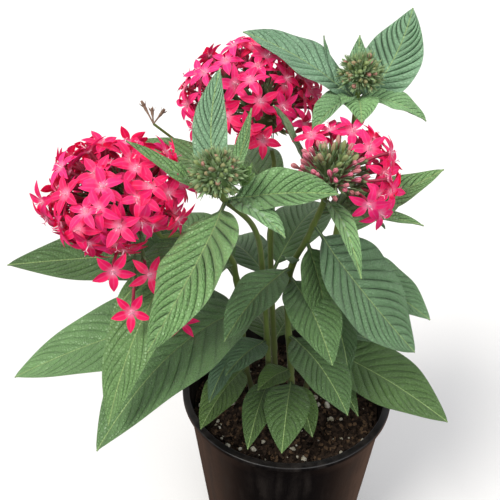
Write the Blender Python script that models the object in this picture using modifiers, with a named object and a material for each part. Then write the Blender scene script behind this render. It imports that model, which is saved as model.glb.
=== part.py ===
"""A potted pentas: five leafy stems in a black nursery pot of soil, each with its head of flowers or buds.

Lengths are in millimetres until the last step, which scales each mesh to metres. The pot stands on
z = 0 round the Z axis. The plant is seen from -Y. Every leaf, floret and bud is grown by a rule from
the stem or head that carries it, and is fused to it, as on the living plant.
"""

import math
import random

import bmesh
import bpy
from mathutils import Matrix, Vector

MM = 0.001
UP = Vector((0, 0, 1))
MERGE = 0.0001

# The pot, a six inch nursery pot.
POT_HEIGHT = 143.0
RIM_RADIUS = 70.0
LIP_DROP = 3.4
LIP_WIDTH = 4.4
WALL_TOP_RADIUS = 66.6
BASE_RADIUS = 54.0
WALL = 1.3
BASE_THICK = 1.8
FOOT_ROUND = 4.0
DRAIN_HOLES = 6
DRAIN_RADIUS = 5.0
DRAIN_RING = 41.0
POT_STEPS = 32

# The soil, which fills the pot to a little under its rim.
SOIL_TOP = 125.0
SOIL_STEPS = 28
SOIL_RINGS = (59, 49, 39, 29, 19, 10)
GAP = 0.3
PERLITE_GRAINS = 12

# Stems.
STEM_ROUNDING = 1
STEM_FOOT = 100.0
STEM_FOOT_RADIUS = 2.4
STEM_TIP_RADIUS = 1.3
STEM_POINTS = 10
TWIG_RADIUS = 0.8

# Leaves.
BLADE_THICK = 0.7
PETIOLE_SHARE = 0.1
PETIOLE_HALF = 1.2
TIP_HALF = 0.45
WIDEST_FROM = 0.7
WIDEST_TO = 0.95
MARGIN_WAVE = 1.1
WAVES = 2.6

# Florets.
FLORET_RADIUS = 11.5
PETALS = 5
NOTCH = 0.38
PETAL_THICK = 0.7
TUBE_RADIUS = 1.0

# A bud's outline by kind: (share of its length, radius) at its stalk, its middle and near its end.
BUD_SHAPES = {
    "bud": ((0.5, 0.7), (0.7, 1.5), (0.92, 1.3)),
    "capsule": ((0.5, 0.7), (0.72, 1.7), (0.92, 1.6)),
    "leaflet": ((0.3, 0.9), (0.6, 1.4), (0.8, 1.0)),
    "spent": ((0.3, 0.7), (0.7, 0.8), (0.9, 1.0)),
}

GOLDEN_TURN = math.pi * (3 - math.sqrt(5))

LEAF_GREEN = (0.13, 0.25, 0.10, 1)
STEM_GREEN = (0.12, 0.20, 0.03, 1)
FLOWER_PINK = (0.87, 0.02, 0.16, 1)
BUD_PINK = (0.45, 0.12, 0.13, 1)
BUD_GREEN = (0.24, 0.30, 0.12, 1)
POT_BLACK = (0.012, 0.011, 0.012, 1)
SOIL_BROWN = (0.035, 0.022, 0.014, 1)


def stem(foot, path, head):
    """A stem's plan: where it leaves the soil, the points that it passes, and the head at its end."""
    return {"foot": foot, "path": path, "head": head}


# Each stem rises from its foot through its path to the base of its head.
STEMS = {
    "front": stem((-10, -8), [(-12, -9, 160), (-17, -12, 238), (-22, -22, 276)], "buds_front"),
    "left": stem((-23, 4), [(-28, 2, 160), (-32, 0, 222), (-38, -4, 250), (-58, -15, 268)], "head_left"),
    "right": stem((3, -11), [(2, -14, 160), (-3, -19, 238), (6, -24, 272)], "buds_right"),
    "back": stem((-6, 11), [(-8, 11, 160), (-12, 12, 240), (-11, 18, 276)], "head_back"),
    "top": stem((14, 5), [(19, 8, 160), (26, 13, 240), (31, 14, 300)], "buds_top"),
}


def head(base, faces, knob, sprays, loose=()):
    """A head's plan: its base on the stem, the way it faces, its knob's size, and what grows from it."""
    return {"base": base, "faces": faces, "knob": knob, "sprays": sprays, "loose": loose}


def spray(kind, count, centre, reach, flat=1.0, widest=112, side=(0, 0, 0), least=-1.0):
    """Florets or buds spread over a dome of radius reach, flattened to a share of its height.

    widest is the angle in degrees down to which the dome reaches. Only the growths that point along
    side by more than least are kept.
    """
    plan = {"kind": kind, "count": count, "centre": centre, "reach": reach}
    plan.update(flat=flat, widest=widest, side=side, least=least)
    return plan


HEADS = {
    "head_left": head(
        (-74, -27, 279),
        (-0.35, -0.35, 0.87),
        15,
        [spray("floret", 26, (-87, -36, 303), 35, 0.7)],
        [
            ((-86, -74, 285), (0.0, -0.9, 0.1)),
            ((-72, -64, 276), (0.35, -0.9, 0.2)),
            ((-80, -74, 262), (0.1, -0.8, 0.35)),
        ],
    ),
    "head_back": head(
        (-12, 26, 301),
        (-0.2, 0.05, 0.95),
        16,
        [spray("floret", 25, (-23, 41, 326), 38, 0.85)],
        [((-18, 2, 316), (0.1, -0.85, 0.4))],
    ),
    "buds_right": head(
        (13, -30, 301),
        (0.1, -0.2, 0.97),
        6,
        [
            spray("capsule", 30, (14, -33, 314), 18.5, 0.95, 105, (-0.8, -0.5, 0.3), -0.75),
            spray("floret", 22, (21, -27, 311), 26, 0.85, 105, (0.9, 0.4, 0.0), 0.35),
        ],
        [((30, -52, 307), (-0.1, -0.85, 0.3))],
    ),
    "buds_front": head(
        (-38, -48, 313),
        (-0.1, -0.4, 0.9),
        7.5,
        [
            spray("bud", 27, (-40, -52, 322), 12.5),
            spray("leaflet", 7, (-26, -50, 322), 6, 1.0, 80),
        ],
    ),
    "buds_top": head(
        (33, 18, 338),
        (0.05, -0.2, 0.97),
        6.5,
        [spray("bud", 25, (33, 16, 347), 11.5)],
    ),
}


def leaf(height, tip, width, arch=0.1, roll=0.0, fold=12.0, bow=0.0):
    """A leaf's plan: its height on the stem, where its tip reaches, its width, and how it bends.

    arch is the midrib's rise above a straight line and bow its bend to one side, as shares of the
    leaf's length. roll turns the blade about its midrib, and fold lifts its halves, both in degrees.
    """
    plan = {"height": height, "tip": tip, "width": width}
    plan.update(arch=arch, roll=roll, fold=fold, bow=bow)
    return plan


LEAVES = {
    "front": [
        leaf(304, (-70, -98, 258), 38, 0.14, 15, 4, -0.10),
        leaf(304, (14, -63, 318), 24, 0.02, 30, 20, -0.05),
        leaf(303, (-9, -73, 302), 15, 0.12, 0, 10),
        leaf(306, (-78, -51, 338), 11, -0.02, -20, 12),
        leaf(307, (-39, -4, 356), 18, -0.02, -10, 16, -0.08),
        leaf(306, (-24, -24, 343), 8, -0.06, 0, 10),
        leaf(218, (-101, -98, 193), 54, 0.12, 0, 6, 0.04),
        leaf(153, (-26, -60, 148), 20, 0.14, 0, 8),
        leaf(188, (-39, -38, 186), 22, 0.12, 0, 8),
    ],
    "left": [
        leaf(252, (-157, -24, 255), 40, 0.01, -22, 10),
        leaf(205, (-167, -31, 178), 52, 0.06, -14, 6),
        leaf(262, (-93, -98, 211), 34, 0.18, 0, 6),
        leaf(264, (-86, -66, 262), 20, 0.10, 0, 10),
        leaf(240, (-72, -44, 238), 14, 0.1, 0, 10),
        leaf(176, (-50, -33, 158), 16, 0.14, 0, 10),
        leaf(154, (-55, -44, 147), 25, 0.12, 0, 8),
        leaf(228, (-86, 66, 236), 36, 0.12, 0, 10),
        leaf(184, (-92, 44, 180), 34, 0.14, 0, 10),
    ],
    "right": [
        leaf(250, (-38, -61, 232), 26, 0.12, 0, 10),
        leaf(244, (18, -68, 222), 30, 0.12, 0, 8),
        leaf(296, (-13, -26, 345), 13, -0.06, 0, 14, 0.3),
        leaf(297, (24, -83, 287), 10, 0.14, 0, 16),
        leaf(288, (76, -11, 306), 22, -0.06, 15, 12),
        leaf(291, (62, -38, 288), 12, 0.04, 10, 12),
        leaf(281, (66, -49, 214), 50, 0.0, 16, 10, 0.03),
        leaf(294, (50, -12, 271), 18, 0.10, 10, 12),
        leaf(198, (30, -64, 181), 32, 0.14, 0, 8),
        leaf(168, (-20, -32, 168), 18, 0.14, 0, 8),
        leaf(158, (-6, -63, 148), 28, 0.14, 0, 8),
        leaf(156, (14, -46, 142), 18, 0.14, 0, 8),
        leaf(254, (-6, -36, 268), 10, 0.0, 0, 14),
        leaf(270, (17, -42, 226), 26, 0.08, 0, 8),
    ],
    "back": [
        leaf(283, (-99, 20, 309), 29, 0.0, -16, 10),
        leaf(262, (-38, 112, 268), 38, 0.14, 0, 10),
        leaf(222, (34, 100, 226), 38, 0.14, 0, 10),
        leaf(216, (-52, 92, 196), 36, 0.14, 0, 10),
        leaf(164, (-26, 62, 155), 28, 0.16, 0, 8),
        leaf(168, (14, 60, 158), 24, 0.14, 0, 8),
    ],
    "top": [
        leaf(331, (62, 42, 375), 34, -0.12, 20, 8, 0.02),
        leaf(331, (-28, 24, 367), 28, 0.06, -25, 10),
        leaf(331, (15, 32, 363), 7, -0.14, 0, 12),
        leaf(333, (69, 8, 325), 17, 0.12, 15, 12),
        leaf(333, (7, -8, 325), 18, 0.14, 0, 26),
        leaf(332, (31, -11, 331), 20, 0.16, 0, 8),
        leaf(331, (36, 46, 360), 14, -0.14, 0, 12),
        leaf(236, (79, -27, 219), 34, 0.04, 10, 10),
        leaf(246, (78, 78, 244), 38, 0.12, 0, 10),
        leaf(168, (93, -50, 160), 42, 0.06, 14, 8),
        leaf(206, (35, -31, 180), 20, 0.16, 0, 8),
        leaf(178, (57, -2, 180), 14, 0.12, 0, 8),
        leaf(182, (76, 54, 166), 34, 0.14, 0, 8),
        leaf(160, (42, -40, 154), 16, 0.12, 0, 8),
    ],
}


# A side shoot that has flowered: its height on the stem, the points it passes, and its spent buds.
TWIGS = {
    "back": [((262, (-54, 48, 284), (-82, 46, 309)), [(-89, 52, 321), (-75, 49, 317), (-83, 51, 317)])],
}


def clear_scene():
    """Removes whatever the scene holds."""
    for obj in list(bpy.data.objects):
        bpy.data.objects.remove(obj, do_unlink=True)


def new_collection(name):
    """A collection linked to the scene."""
    made = bpy.data.collections.new(name)
    bpy.context.scene.collection.children.link(made)
    return made


def finish(name, colour, roughness):
    """A Principled material."""
    made = bpy.data.materials.new(name)
    made.use_nodes = True
    shader = made.node_tree.nodes["Principled BSDF"]
    shader.inputs["Base Color"].default_value = colour
    shader.inputs["Roughness"].default_value = roughness
    return made


def mesh_object(name, bm, collection):
    """An object of the mesh in bm, which is freed."""
    mesh = bpy.data.meshes.new(name)
    bm.to_mesh(mesh)
    bm.free()
    obj = bpy.data.objects.new(name, mesh)
    collection.objects.link(obj)
    return obj


def evaluated_mesh(obj):
    """A new mesh of the object with its modifiers applied."""
    graph = bpy.context.evaluated_depsgraph_get()
    graph.update()
    return bpy.data.meshes.new_from_object(obj.evaluated_get(graph))


def apply_modifiers(obj):
    """Replaces the object's mesh by the one that its modifiers make."""
    mesh = evaluated_mesh(obj)
    obj.modifiers.clear()
    obj.data = mesh


def turned(name, profile, steps, collection):
    """A solid of revolution about Z: the closed outline profile, of (radius, z) points, turned by a Screw."""
    bm = bmesh.new()
    points = [bm.verts.new((radius, 0, z)) for radius, z in profile]
    for first, second in zip(points, points[1:]):
        bm.edges.new((first, second))
    obj = mesh_object(name, bm, collection)
    screw = obj.modifiers.new("turn", "SCREW")
    screw.steps = screw.render_steps = steps
    screw.use_merge_vertices = True
    screw.merge_threshold = MERGE
    apply_modifiers(obj)
    bm = bmesh.new()
    bm.from_mesh(obj.data)
    bmesh.ops.remove_doubles(bm, verts=bm.verts, dist=MERGE)
    bmesh.ops.recalc_face_normals(bm, faces=bm.faces)
    bm.to_mesh(obj.data)
    bm.free()
    return obj


def boolean(obj, operation, helpers):
    """Cuts the collection helpers from obj or joins it to obj, and removes its objects."""
    modifier = obj.modifiers.new(operation.lower(), "BOOLEAN")
    modifier.operation = operation
    modifier.operand_type = "COLLECTION"
    modifier.collection = helpers
    modifier.solver = "MANIFOLD"
    apply_modifiers(obj)
    for helper in list(helpers.objects):
        bpy.data.objects.remove(helper, do_unlink=True)
    bpy.data.collections.remove(helpers)


def cylinder(radius, low, high, centre, collection, sides=12):
    """An upright cylinder from z low to z high."""
    bm = bmesh.new()
    place = Matrix.Translation((centre[0], centre[1], (low + high) / 2))
    bmesh.ops.create_cone(
        bm, cap_ends=True, segments=sides, radius1=radius, radius2=radius, depth=high - low, matrix=place
    )
    return mesh_object("cylinder", bm, collection)


def wall_radius(z):
    """The outer radius of the pot's tapered wall at height z."""
    share = z / (POT_HEIGHT - LIP_DROP)
    return BASE_RADIUS + (WALL_TOP_RADIUS - BASE_RADIUS) * share


def make_pot(parts):
    """The pot: a thin tapered shell with a lip turned out at its mouth, and drain holes round its base."""
    lip_low = POT_HEIGHT - LIP_DROP
    outside = [
        (0, 0),
        (BASE_RADIUS - FOOT_ROUND, 0),
        (BASE_RADIUS - FOOT_ROUND * 0.3, FOOT_ROUND * 0.3),
        (wall_radius(FOOT_ROUND), FOOT_ROUND),
        (WALL_TOP_RADIUS, lip_low),
        (RIM_RADIUS - 0.5, lip_low),
        (RIM_RADIUS, lip_low + 0.7),
        (RIM_RADIUS, POT_HEIGHT - 0.9),
        (RIM_RADIUS - 0.9, POT_HEIGHT),
    ]
    inside = [
        (RIM_RADIUS - LIP_WIDTH, POT_HEIGHT),
        (WALL_TOP_RADIUS - WALL - 0.2, POT_HEIGHT - 1.4),
        (wall_radius(BASE_THICK + FOOT_ROUND) - WALL, BASE_THICK + FOOT_ROUND),
        (BASE_RADIUS - FOOT_ROUND - WALL, BASE_THICK),
        (0, BASE_THICK),
    ]
    pot = turned("pot", outside + inside, POT_STEPS, parts)
    holes = new_collection("drain_cutters")
    for number in range(DRAIN_HOLES):
        angle = 2 * math.pi * (number + 0.5) / DRAIN_HOLES
        centre = (DRAIN_RING * math.cos(angle), DRAIN_RING * math.sin(angle))
        cylinder(DRAIN_RADIUS, -2, BASE_THICK + 2, centre, holes)
    boolean(pot, "DIFFERENCE", holes)
    return pot


def soil_height(x, y):
    """The soil's lumpy surface, in mm above z = 0: a slight mound with two waves of crumbs on it."""
    mound = 3.0 * math.cos(math.hypot(x, y) / 40)
    crumbs = 0.9 * math.sin(x * 0.23 + 1.0) * math.cos(y * 0.27) + 0.6 * math.sin(x * 0.41 - y * 0.35)
    return SOIL_TOP - 3.0 + mound + crumbs


def make_soil(parts, feet):
    """The soil: a plug with a crumbly top, white perlite grains, and a plain hole for each stem."""
    wall = [
        (BASE_RADIUS - FOOT_ROUND - WALL - 1, BASE_THICK + GAP),
        (wall_radius(BASE_THICK + FOOT_ROUND) - WALL - GAP - 0.3, BASE_THICK + FOOT_ROUND + 1),
        (wall_radius(SOIL_TOP) - WALL - GAP - 0.6, SOIL_TOP - 3),
    ]
    top = [(radius, SOIL_TOP) for radius in SOIL_RINGS + (0,)]
    soil = turned("soil", [(0, BASE_THICK + GAP)] + wall + top, SOIL_STEPS, parts)
    for vertex in soil.data.vertices:
        x, y, z = vertex.co
        if z > SOIL_TOP - 1:
            vertex.co.z = soil_height(x, y)
    grains = new_collection("perlite_grains")
    draw = random.Random(11)
    for _ in range(PERLITE_GRAINS):
        distance = 50 * math.sqrt(draw.random())
        angle = draw.uniform(0, 2 * math.pi)
        size = draw.uniform(1.3, 2.3)
        x, y = distance * math.cos(angle), distance * math.sin(angle)
        turn = Matrix.Rotation(draw.uniform(0, 3), 4, (draw.random(), draw.random(), 1))
        if min(math.hypot(x - foot[0], y - foot[1]) for foot in feet) < 9:
            continue
        bm = bmesh.new()
        place = Matrix.Translation((x, y, soil_height(x, y) + size * 0.1)) @ turn
        bmesh.ops.create_icosphere(bm, subdivisions=1, radius=size, matrix=place)
        mesh_object("grain", bm, grains)
    boolean(soil, "UNION", grains)
    holes = new_collection("stem_cutters")
    for foot in feet:
        cylinder(STEM_FOOT_RADIUS + 0.6, STEM_FOOT - GAP, SOIL_TOP + 12, foot, holes, 10)
    boolean(soil, "DIFFERENCE", holes)
    return soil


def smooth_through(points, count):
    """count + 1 points on a smooth curve through points, by the Catmull-Rom rule."""
    spots = [Vector(p) for p in points]
    ends = [2 * spots[0] - spots[1]] + spots + [2 * spots[-1] - spots[-2]]
    made = []
    for step in range(count + 1):
        along = step / count * (len(spots) - 1)
        piece = min(int(along), len(spots) - 2)
        t = along - piece
        a, b, c, d = ends[piece : piece + 4]
        made.append(
            0.5 * (2 * b + (c - a) * t + (2 * a - 5 * b + 4 * c - d) * t**2 + (3 * b - a - 3 * c + d) * t**3)
        )
    return made


def tube_object(name, points, radii, sides, collection):
    """A solid tube along points, as a mesh: a bevelled curve with filled caps, welded."""
    curve = bpy.data.curves.new(name, "CURVE")
    curve.dimensions = "3D"
    curve.bevel_depth = 1.0
    curve.bevel_resolution = sides
    curve.use_fill_caps = True
    spline = curve.splines.new("POLY")
    spline.points.add(len(points) - 1)
    for target, point, radius in zip(spline.points, points, radii):
        target.co = (*point, 1)
        target.radius = radius
    guide = bpy.data.objects.new(name, curve)
    collection.objects.link(guide)
    mesh = evaluated_mesh(guide)
    bpy.data.objects.remove(guide, do_unlink=True)
    bm = bmesh.new()
    bm.from_mesh(mesh)
    bmesh.ops.remove_doubles(bm, verts=bm.verts, dist=MERGE)
    return mesh_object(name, bm, collection)


def head_base(name):
    """The middle of the face on which a head sits on its stem, and the way the head faces."""
    plan = HEADS[name]
    return Vector(plan["base"]), Vector(plan["faces"]).normalized()


def stem_line(plan):
    """The points of a stem's centre line, from its foot in the soil to its head."""
    base, faces = head_base(plan["head"])
    foot = (*plan["foot"], STEM_FOOT)
    collar = (*plan["foot"], SOIL_TOP + 4)
    return smooth_through([foot, collar, *plan["path"], base - faces * 7], STEM_POINTS) + [base - faces * GAP]


def on_line(line, height):
    """The point of the line at that height."""
    for first, second in zip(line, line[1:]):
        if second.z >= height >= first.z:
            return first.lerp(second, (height - first.z) / (second.z - first.z))
    return line[-1].copy()


def blade_half_width(share, width):
    """Half the blade's width at a share of its length: a narrow petiole, then an oval with a long point."""
    along = (share - PETIOLE_SHARE) / (1 - PETIOLE_SHARE)
    if along <= 0:
        return PETIOLE_HALF
    peak = WIDEST_FROM / (WIDEST_FROM + WIDEST_TO)
    oval = (along / peak) ** WIDEST_FROM * ((1 - along) / (1 - peak)) ** WIDEST_TO
    least = PETIOLE_HALF + (TIP_HALF - PETIOLE_HALF) * along
    return max(least, width / 2 * oval)


def blade_point(base, plan, share, across):
    """The point of a leaf at share of its length, across from -1 to 1 over its width."""
    tip = Vector(plan["tip"])
    chord = tip - base
    ahead = chord.normalized()
    side = ahead.cross(UP).normalized()
    lift = side.cross(ahead)
    bend = base + chord * 0.45 + (lift * plan["arch"] + side * plan["bow"]) * 2 * chord.length
    spot = base * (1 - share) ** 2 + bend * 2 * share * (1 - share) + tip * share**2
    forward = ((bend - base) * (1 - share) + (tip - bend) * share).normalized()
    side = (side - forward * side.dot(forward)).normalized()
    side = Matrix.Rotation(math.radians(plan["roll"]), 3, forward) @ side
    normal = side.cross(forward)
    half = blade_half_width(share, plan["width"])
    fold = math.radians(plan["fold"])
    ripple = math.sin(2 * math.pi * WAVES * share + 2.1 * across + plan["height"])
    wave = MARGIN_WAVE * min(1, plan["width"] / 30) * ripple * across**2 * math.sin(math.pi * share)
    return spot + side * across * half * math.cos(fold) + normal * (abs(across) * half * math.sin(fold) + wave)


def grow_leaf(base, plan, collection):
    """One leaf: a flat grid bent into the blade, split into triangles, then given its thickness."""
    along = 6 if plan["width"] > 34 else 5 if plan["width"] > 16 else 3
    bm = bmesh.new()
    bmesh.ops.create_grid(bm, x_segments=2, y_segments=along, size=1)
    for vertex in bm.verts:
        vertex.co = blade_point(base, plan, (vertex.co.y + 1) / 2, vertex.co.x)
    bmesh.ops.triangulate(bm, faces=bm.faces)
    obj = mesh_object("leaf", bm, collection)
    thick = obj.modifiers.new("thickness", "SOLIDIFY")
    thick.thickness = BLADE_THICK
    thick.offset = 0
    apply_modifiers(obj)
    return obj


def make_stem(name, parts):
    """A stem with its leaves, fused into one body."""
    plan = STEMS[name]
    line = stem_line(plan)
    last = len(line) - 1
    radii = [STEM_FOOT_RADIUS + (STEM_TIP_RADIUS - STEM_FOOT_RADIUS) * i / last for i in range(last + 1)]
    made = tube_object("stem_" + name, line, radii, STEM_ROUNDING, parts)
    leaves = new_collection("leaves_" + name)
    for leaf_plan in LEAVES[name]:
        grow_leaf(on_line(line, leaf_plan["height"]), leaf_plan, leaves)
    for points, spent in TWIGS.get(name, []):
        twig = smooth_through([on_line(line, points[0]), *points[1:]], 6)
        tube_object("twig", twig, [TWIG_RADIUS] * 7, STEM_ROUNDING, leaves)
        for tip in spent:
            make_bud(twig[-1] - (Vector(tip) - twig[-1]) * 0.1, Vector(tip), BUD_SHAPES["spent"], leaves)
    boolean(made, "UNION", leaves)
    return made


def make_floret(centre, facing, size, spin, collection):
    """A floret's open star of five pointed petals, cupped a little, facing a direction."""
    bm = bmesh.new()
    bmesh.ops.create_circle(bm, cap_ends=True, cap_tris=True, segments=2 * PETALS, radius=size)
    bmesh.ops.triangulate(bm, faces=bm.faces)
    for vertex in bm.verts:
        step = round((math.atan2(vertex.co.y, vertex.co.x) - math.pi / 2) * PETALS / math.pi)
        if vertex.co.length > 1 and step % 2:
            vertex.co = vertex.co * NOTCH + Vector((0, 0, size * 0.08))
    turn = facing.to_track_quat("Z", "Y").to_matrix().to_4x4() @ Matrix.Rotation(spin, 4, "Z")
    bmesh.ops.transform(bm, matrix=Matrix.Translation(centre) @ turn, verts=bm.verts)
    obj = mesh_object("floret", bm, collection)
    thick = obj.modifiers.new("thickness", "SOLIDIFY")
    thick.thickness = PETAL_THICK
    thick.offset = 0
    apply_modifiers(obj)
    return obj


def make_spike(low, high, low_radius, high_radius, sides, collection):
    """A straight tapered tube between two points: a floret's tube or a head's neck."""
    bm = bmesh.new()
    run = high - low
    place = Matrix.Translation((low + high) / 2) @ run.to_track_quat("Z", "Y").to_matrix().to_4x4()
    bmesh.ops.create_cone(
        bm,
        cap_ends=True,
        segments=sides,
        radius1=low_radius,
        radius2=high_radius,
        depth=run.length,
        matrix=place,
    )
    return mesh_object("spike", bm, collection)


def make_bud(low, high, shape, collection):
    """A closed bud on its stalk, four-sided. shape lists (share of its length, radius) at three rings."""
    bm = bmesh.new()
    run = high - low
    bmesh.ops.create_uvsphere(bm, u_segments=4, v_segments=4, radius=1)
    for vertex in bm.verts:
        across = Vector((vertex.co.x, vertex.co.y, 0))
        ring = round(math.degrees(math.asin(max(-1, min(1, vertex.co.z)))) / 45)
        share, radius = {-2: (0, 0), 2: (1, 0)}.get(ring) or shape[ring + 1]
        vertex.co = (across.normalized() if radius else across * 0) * radius + Vector((0, 0, share * run.length))
    place = Matrix.Translation(low) @ run.to_track_quat("Z", "Y").to_matrix().to_4x4()
    bmesh.ops.transform(bm, matrix=place, verts=bm.verts)
    return mesh_object("bud", bm, collection)


def spread(number, count, faces, widest):
    """The direction of one of count growths, spread evenly by the golden angle over a cap round faces."""
    share = (number + 0.5) / count
    lean = math.acos(1 - share * (1 - math.cos(widest)))
    turn = number * GOLDEN_TURN
    local = Vector((math.sin(lean) * math.cos(turn), math.sin(lean) * math.sin(turn), math.cos(lean)))
    return faces.to_track_quat("Z", "Y") @ local


def grow_floret(knob, centre, facing, size, spin, collection):
    """An open floret with its slim tube, whose foot is sunk in the knob."""
    make_floret(centre, facing, size, spin, collection)
    make_spike(knob, centre + facing * 0.2, TUBE_RADIUS * 0.8, TUBE_RADIUS * 1.3, 3, collection)


def grow_spray(plan, knob, faces, draw, collection):
    """The florets or buds of one spray, spread over its dome."""
    centre = Vector(plan["centre"])
    flat = Vector((1, 1, plan["flat"]))
    side = Vector(plan["side"])
    for number in range(plan["count"]):
        outward = spread(number, plan["count"], faces, math.radians(plan["widest"]))
        reach = plan["reach"] * draw.uniform(0.92, 1.05)
        wobble = Vector([draw.uniform(-0.2, 0.2) for _ in range(3)])
        spin = draw.uniform(0, 2)
        if outward.dot(side) <= plan["least"]:
            continue
        spot = centre + outward * flat * reach
        if plan["kind"] == "floret":
            grow_floret(knob, spot, (outward + wobble).normalized(), FLORET_RADIUS, spin, collection)
        else:
            root = knob.lerp(spot, 0.15)
            make_bud(root, spot, BUD_SHAPES[plan["kind"]], collection)


def make_head(name, parts):
    """A head: a neck on the stem's end, a knob where the stalks meet, and all that grows from it."""
    plan = HEADS[name]
    base, faces = head_base(name)
    draw = random.Random(name)
    knob = base + faces * plan["knob"] * 1.3
    head_body = make_spike(base, knob, STEM_TIP_RADIUS + 0.1, plan["knob"] * 0.8, 8, parts)
    head_body.name = head_body.data.name = name
    growths = new_collection("growths")
    bm = bmesh.new()
    bmesh.ops.create_uvsphere(bm, u_segments=8, v_segments=5, radius=plan["knob"])
    bmesh.ops.transform(bm, matrix=Matrix.Translation(knob), verts=bm.verts)
    mesh_object("knob", bm, growths)
    for spray_plan in plan["sprays"]:
        grow_spray(spray_plan, knob, faces, draw, growths)
    for centre, facing in plan["loose"]:
        grow_floret(knob, Vector(centre), Vector(facing).normalized(), FLORET_RADIUS, 0.6, growths)
    boolean(head_body, "UNION", growths)
    return head_body


def settle(obj, material, smooth_angle):
    """Scales the object's mesh from millimetres to metres, and gives it its material and shading."""
    obj.data.transform(Matrix.Scale(MM, 4))
    obj.data.materials.clear()
    obj.data.materials.append(material)
    obj.data.shade_smooth()
    obj.data.set_sharp_from_angle(angle=math.radians(smooth_angle))


def main():
    """Makes every piece of the potted plant."""
    clear_scene()
    parts = new_collection("pentas")
    leaf_green = finish("leaf_green", LEAF_GREEN, 0.6)
    pink = finish("flower_pink", FLOWER_PINK, 0.55)
    settle(make_pot(parts), finish("pot_black", POT_BLACK, 0.35), 35)
    feet = [plan["foot"] for plan in STEMS.values()]
    settle(make_soil(parts, feet), finish("soil_brown", SOIL_BROWN, 0.95), 35)
    for name in STEMS:
        settle(make_stem(name, parts), leaf_green, 40)
    for name in ("head_left", "head_back"):
        settle(make_head(name, parts), pink, 30)
    settle(make_head("buds_right", parts), finish("bud_pink", BUD_PINK, 0.6), 30)
    bud_green = finish("bud_green", BUD_GREEN, 0.65)
    for name in ("buds_front", "buds_top"):
        settle(make_head(name, parts), bud_green, 30)


main()
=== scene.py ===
import math
import random

import bpy
import numpy as np
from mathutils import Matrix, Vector


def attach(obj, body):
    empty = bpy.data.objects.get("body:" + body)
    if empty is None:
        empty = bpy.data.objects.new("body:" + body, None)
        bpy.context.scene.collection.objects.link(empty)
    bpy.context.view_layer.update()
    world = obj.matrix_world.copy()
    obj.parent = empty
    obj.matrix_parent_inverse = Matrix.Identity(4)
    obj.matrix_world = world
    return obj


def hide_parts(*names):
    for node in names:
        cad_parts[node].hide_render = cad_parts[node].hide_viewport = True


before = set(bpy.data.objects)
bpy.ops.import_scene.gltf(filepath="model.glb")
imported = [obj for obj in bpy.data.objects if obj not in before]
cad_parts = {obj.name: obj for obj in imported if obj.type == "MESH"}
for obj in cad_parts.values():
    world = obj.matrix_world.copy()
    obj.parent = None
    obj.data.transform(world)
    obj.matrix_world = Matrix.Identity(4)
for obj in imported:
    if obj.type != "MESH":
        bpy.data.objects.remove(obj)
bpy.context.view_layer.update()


# The studio. A wide pale floor under a broad soft light from the front left, with white light from all
# round. The camera looks down on the plant by a third of a right angle, from arm's length.
def linear(hex_colour):
    """An sRGB hex value made linear: each channel is ((c + 0.055) / 1.055) ** 2.4, or c / 12.92 if dark."""
    channels = [int(hex_colour[i : i + 2], 16) / 255 for i in (1, 3, 5)]
    return (*[((c + 0.055) / 1.055) ** 2.4 if c > 0.04045 else c / 12.92 for c in channels], 1.0)


# A colour mix takes its two colours by number, because its sockets share their names.
MIX_A = 6
MIX_B = 7


def add(tree, kind, inputs=(), **settings):
    """Adds a node with its settings, and fills its inputs from values, nodes or sockets."""
    node = tree.nodes.new(kind)
    for name, value in settings.items():
        setattr(node, name, value)
    for name, value in dict(inputs).items():
        if isinstance(value, bpy.types.Node):
            value = next(output for output in value.outputs if output.enabled)
        if isinstance(value, bpy.types.NodeSocket):
            tree.links.new(value, node.inputs[name])
        else:
            node.inputs[name].default_value = value
    return node


def finish_of(name, **sockets):
    """A new Principled material with its sockets set, returned with its node tree and its shader."""
    made = bpy.data.materials.new(name)
    made.use_nodes = True
    shader = made.node_tree.nodes["Principled BSDF"]
    for socket, value in sockets.items():
        shader.inputs[socket.replace("_", " ")].default_value = value
    return made, made.node_tree, shader


def aimed(kind, data, place, target):
    """A lamp or camera at place, turned to face target."""
    made = bpy.data.objects.new(kind, data)
    made.location = place
    made.rotation_euler = (Vector(target) - Vector(place)).to_track_quat("-Z", "Y").to_euler()
    bpy.context.scene.collection.objects.link(made)
    return made


# The camera, in metres and degrees below level.
CAMERA_PLACE = (-0.0245, -0.2976, 0.438)
CAMERA_TILT = 32.4
camera = bpy.data.objects.new("camera", bpy.data.cameras.new("camera"))
camera.location = CAMERA_PLACE
camera.rotation_euler = (math.radians(90 - CAMERA_TILT), 0, 0)
camera.data.sensor_width = 36
camera.data.lens = 43.42
camera.data.clip_start = 0.01
bpy.context.scene.collection.objects.link(camera)
bpy.context.scene.camera = camera
bpy.context.scene.view_settings.view_transform = "Standard"

# A soft key light from the upper left, and a softer, dimmer fill from the right.
PLANT_MIDDLE = (0, 0, 0.22)
key = bpy.data.lights.new("key", "SUN")
key.angle = math.radians(26)
key.energy = 2.1
key.color = linear("#FFFCF6")[:3]
aimed("key", key, (-0.8, -0.6, 1.4), PLANT_MIDDLE)
fill = bpy.data.lights.new("fill", "SUN")
fill.angle = math.radians(50)
fill.energy = 1.0
aimed("fill", fill, (0.7, -1.0, 0.7), PLANT_MIDDLE)

world = bpy.data.worlds.new("white_room")
world.use_nodes = True
tree = world.node_tree
way = add(tree, "ShaderNodeSeparateXYZ", {0: add(tree, "ShaderNodeTexCoord").outputs["Generated"]})
sky_share = add(tree, "ShaderNodeMapRange", {0: way.outputs["Z"], 1: -0.45, 2: 0.15})
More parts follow.
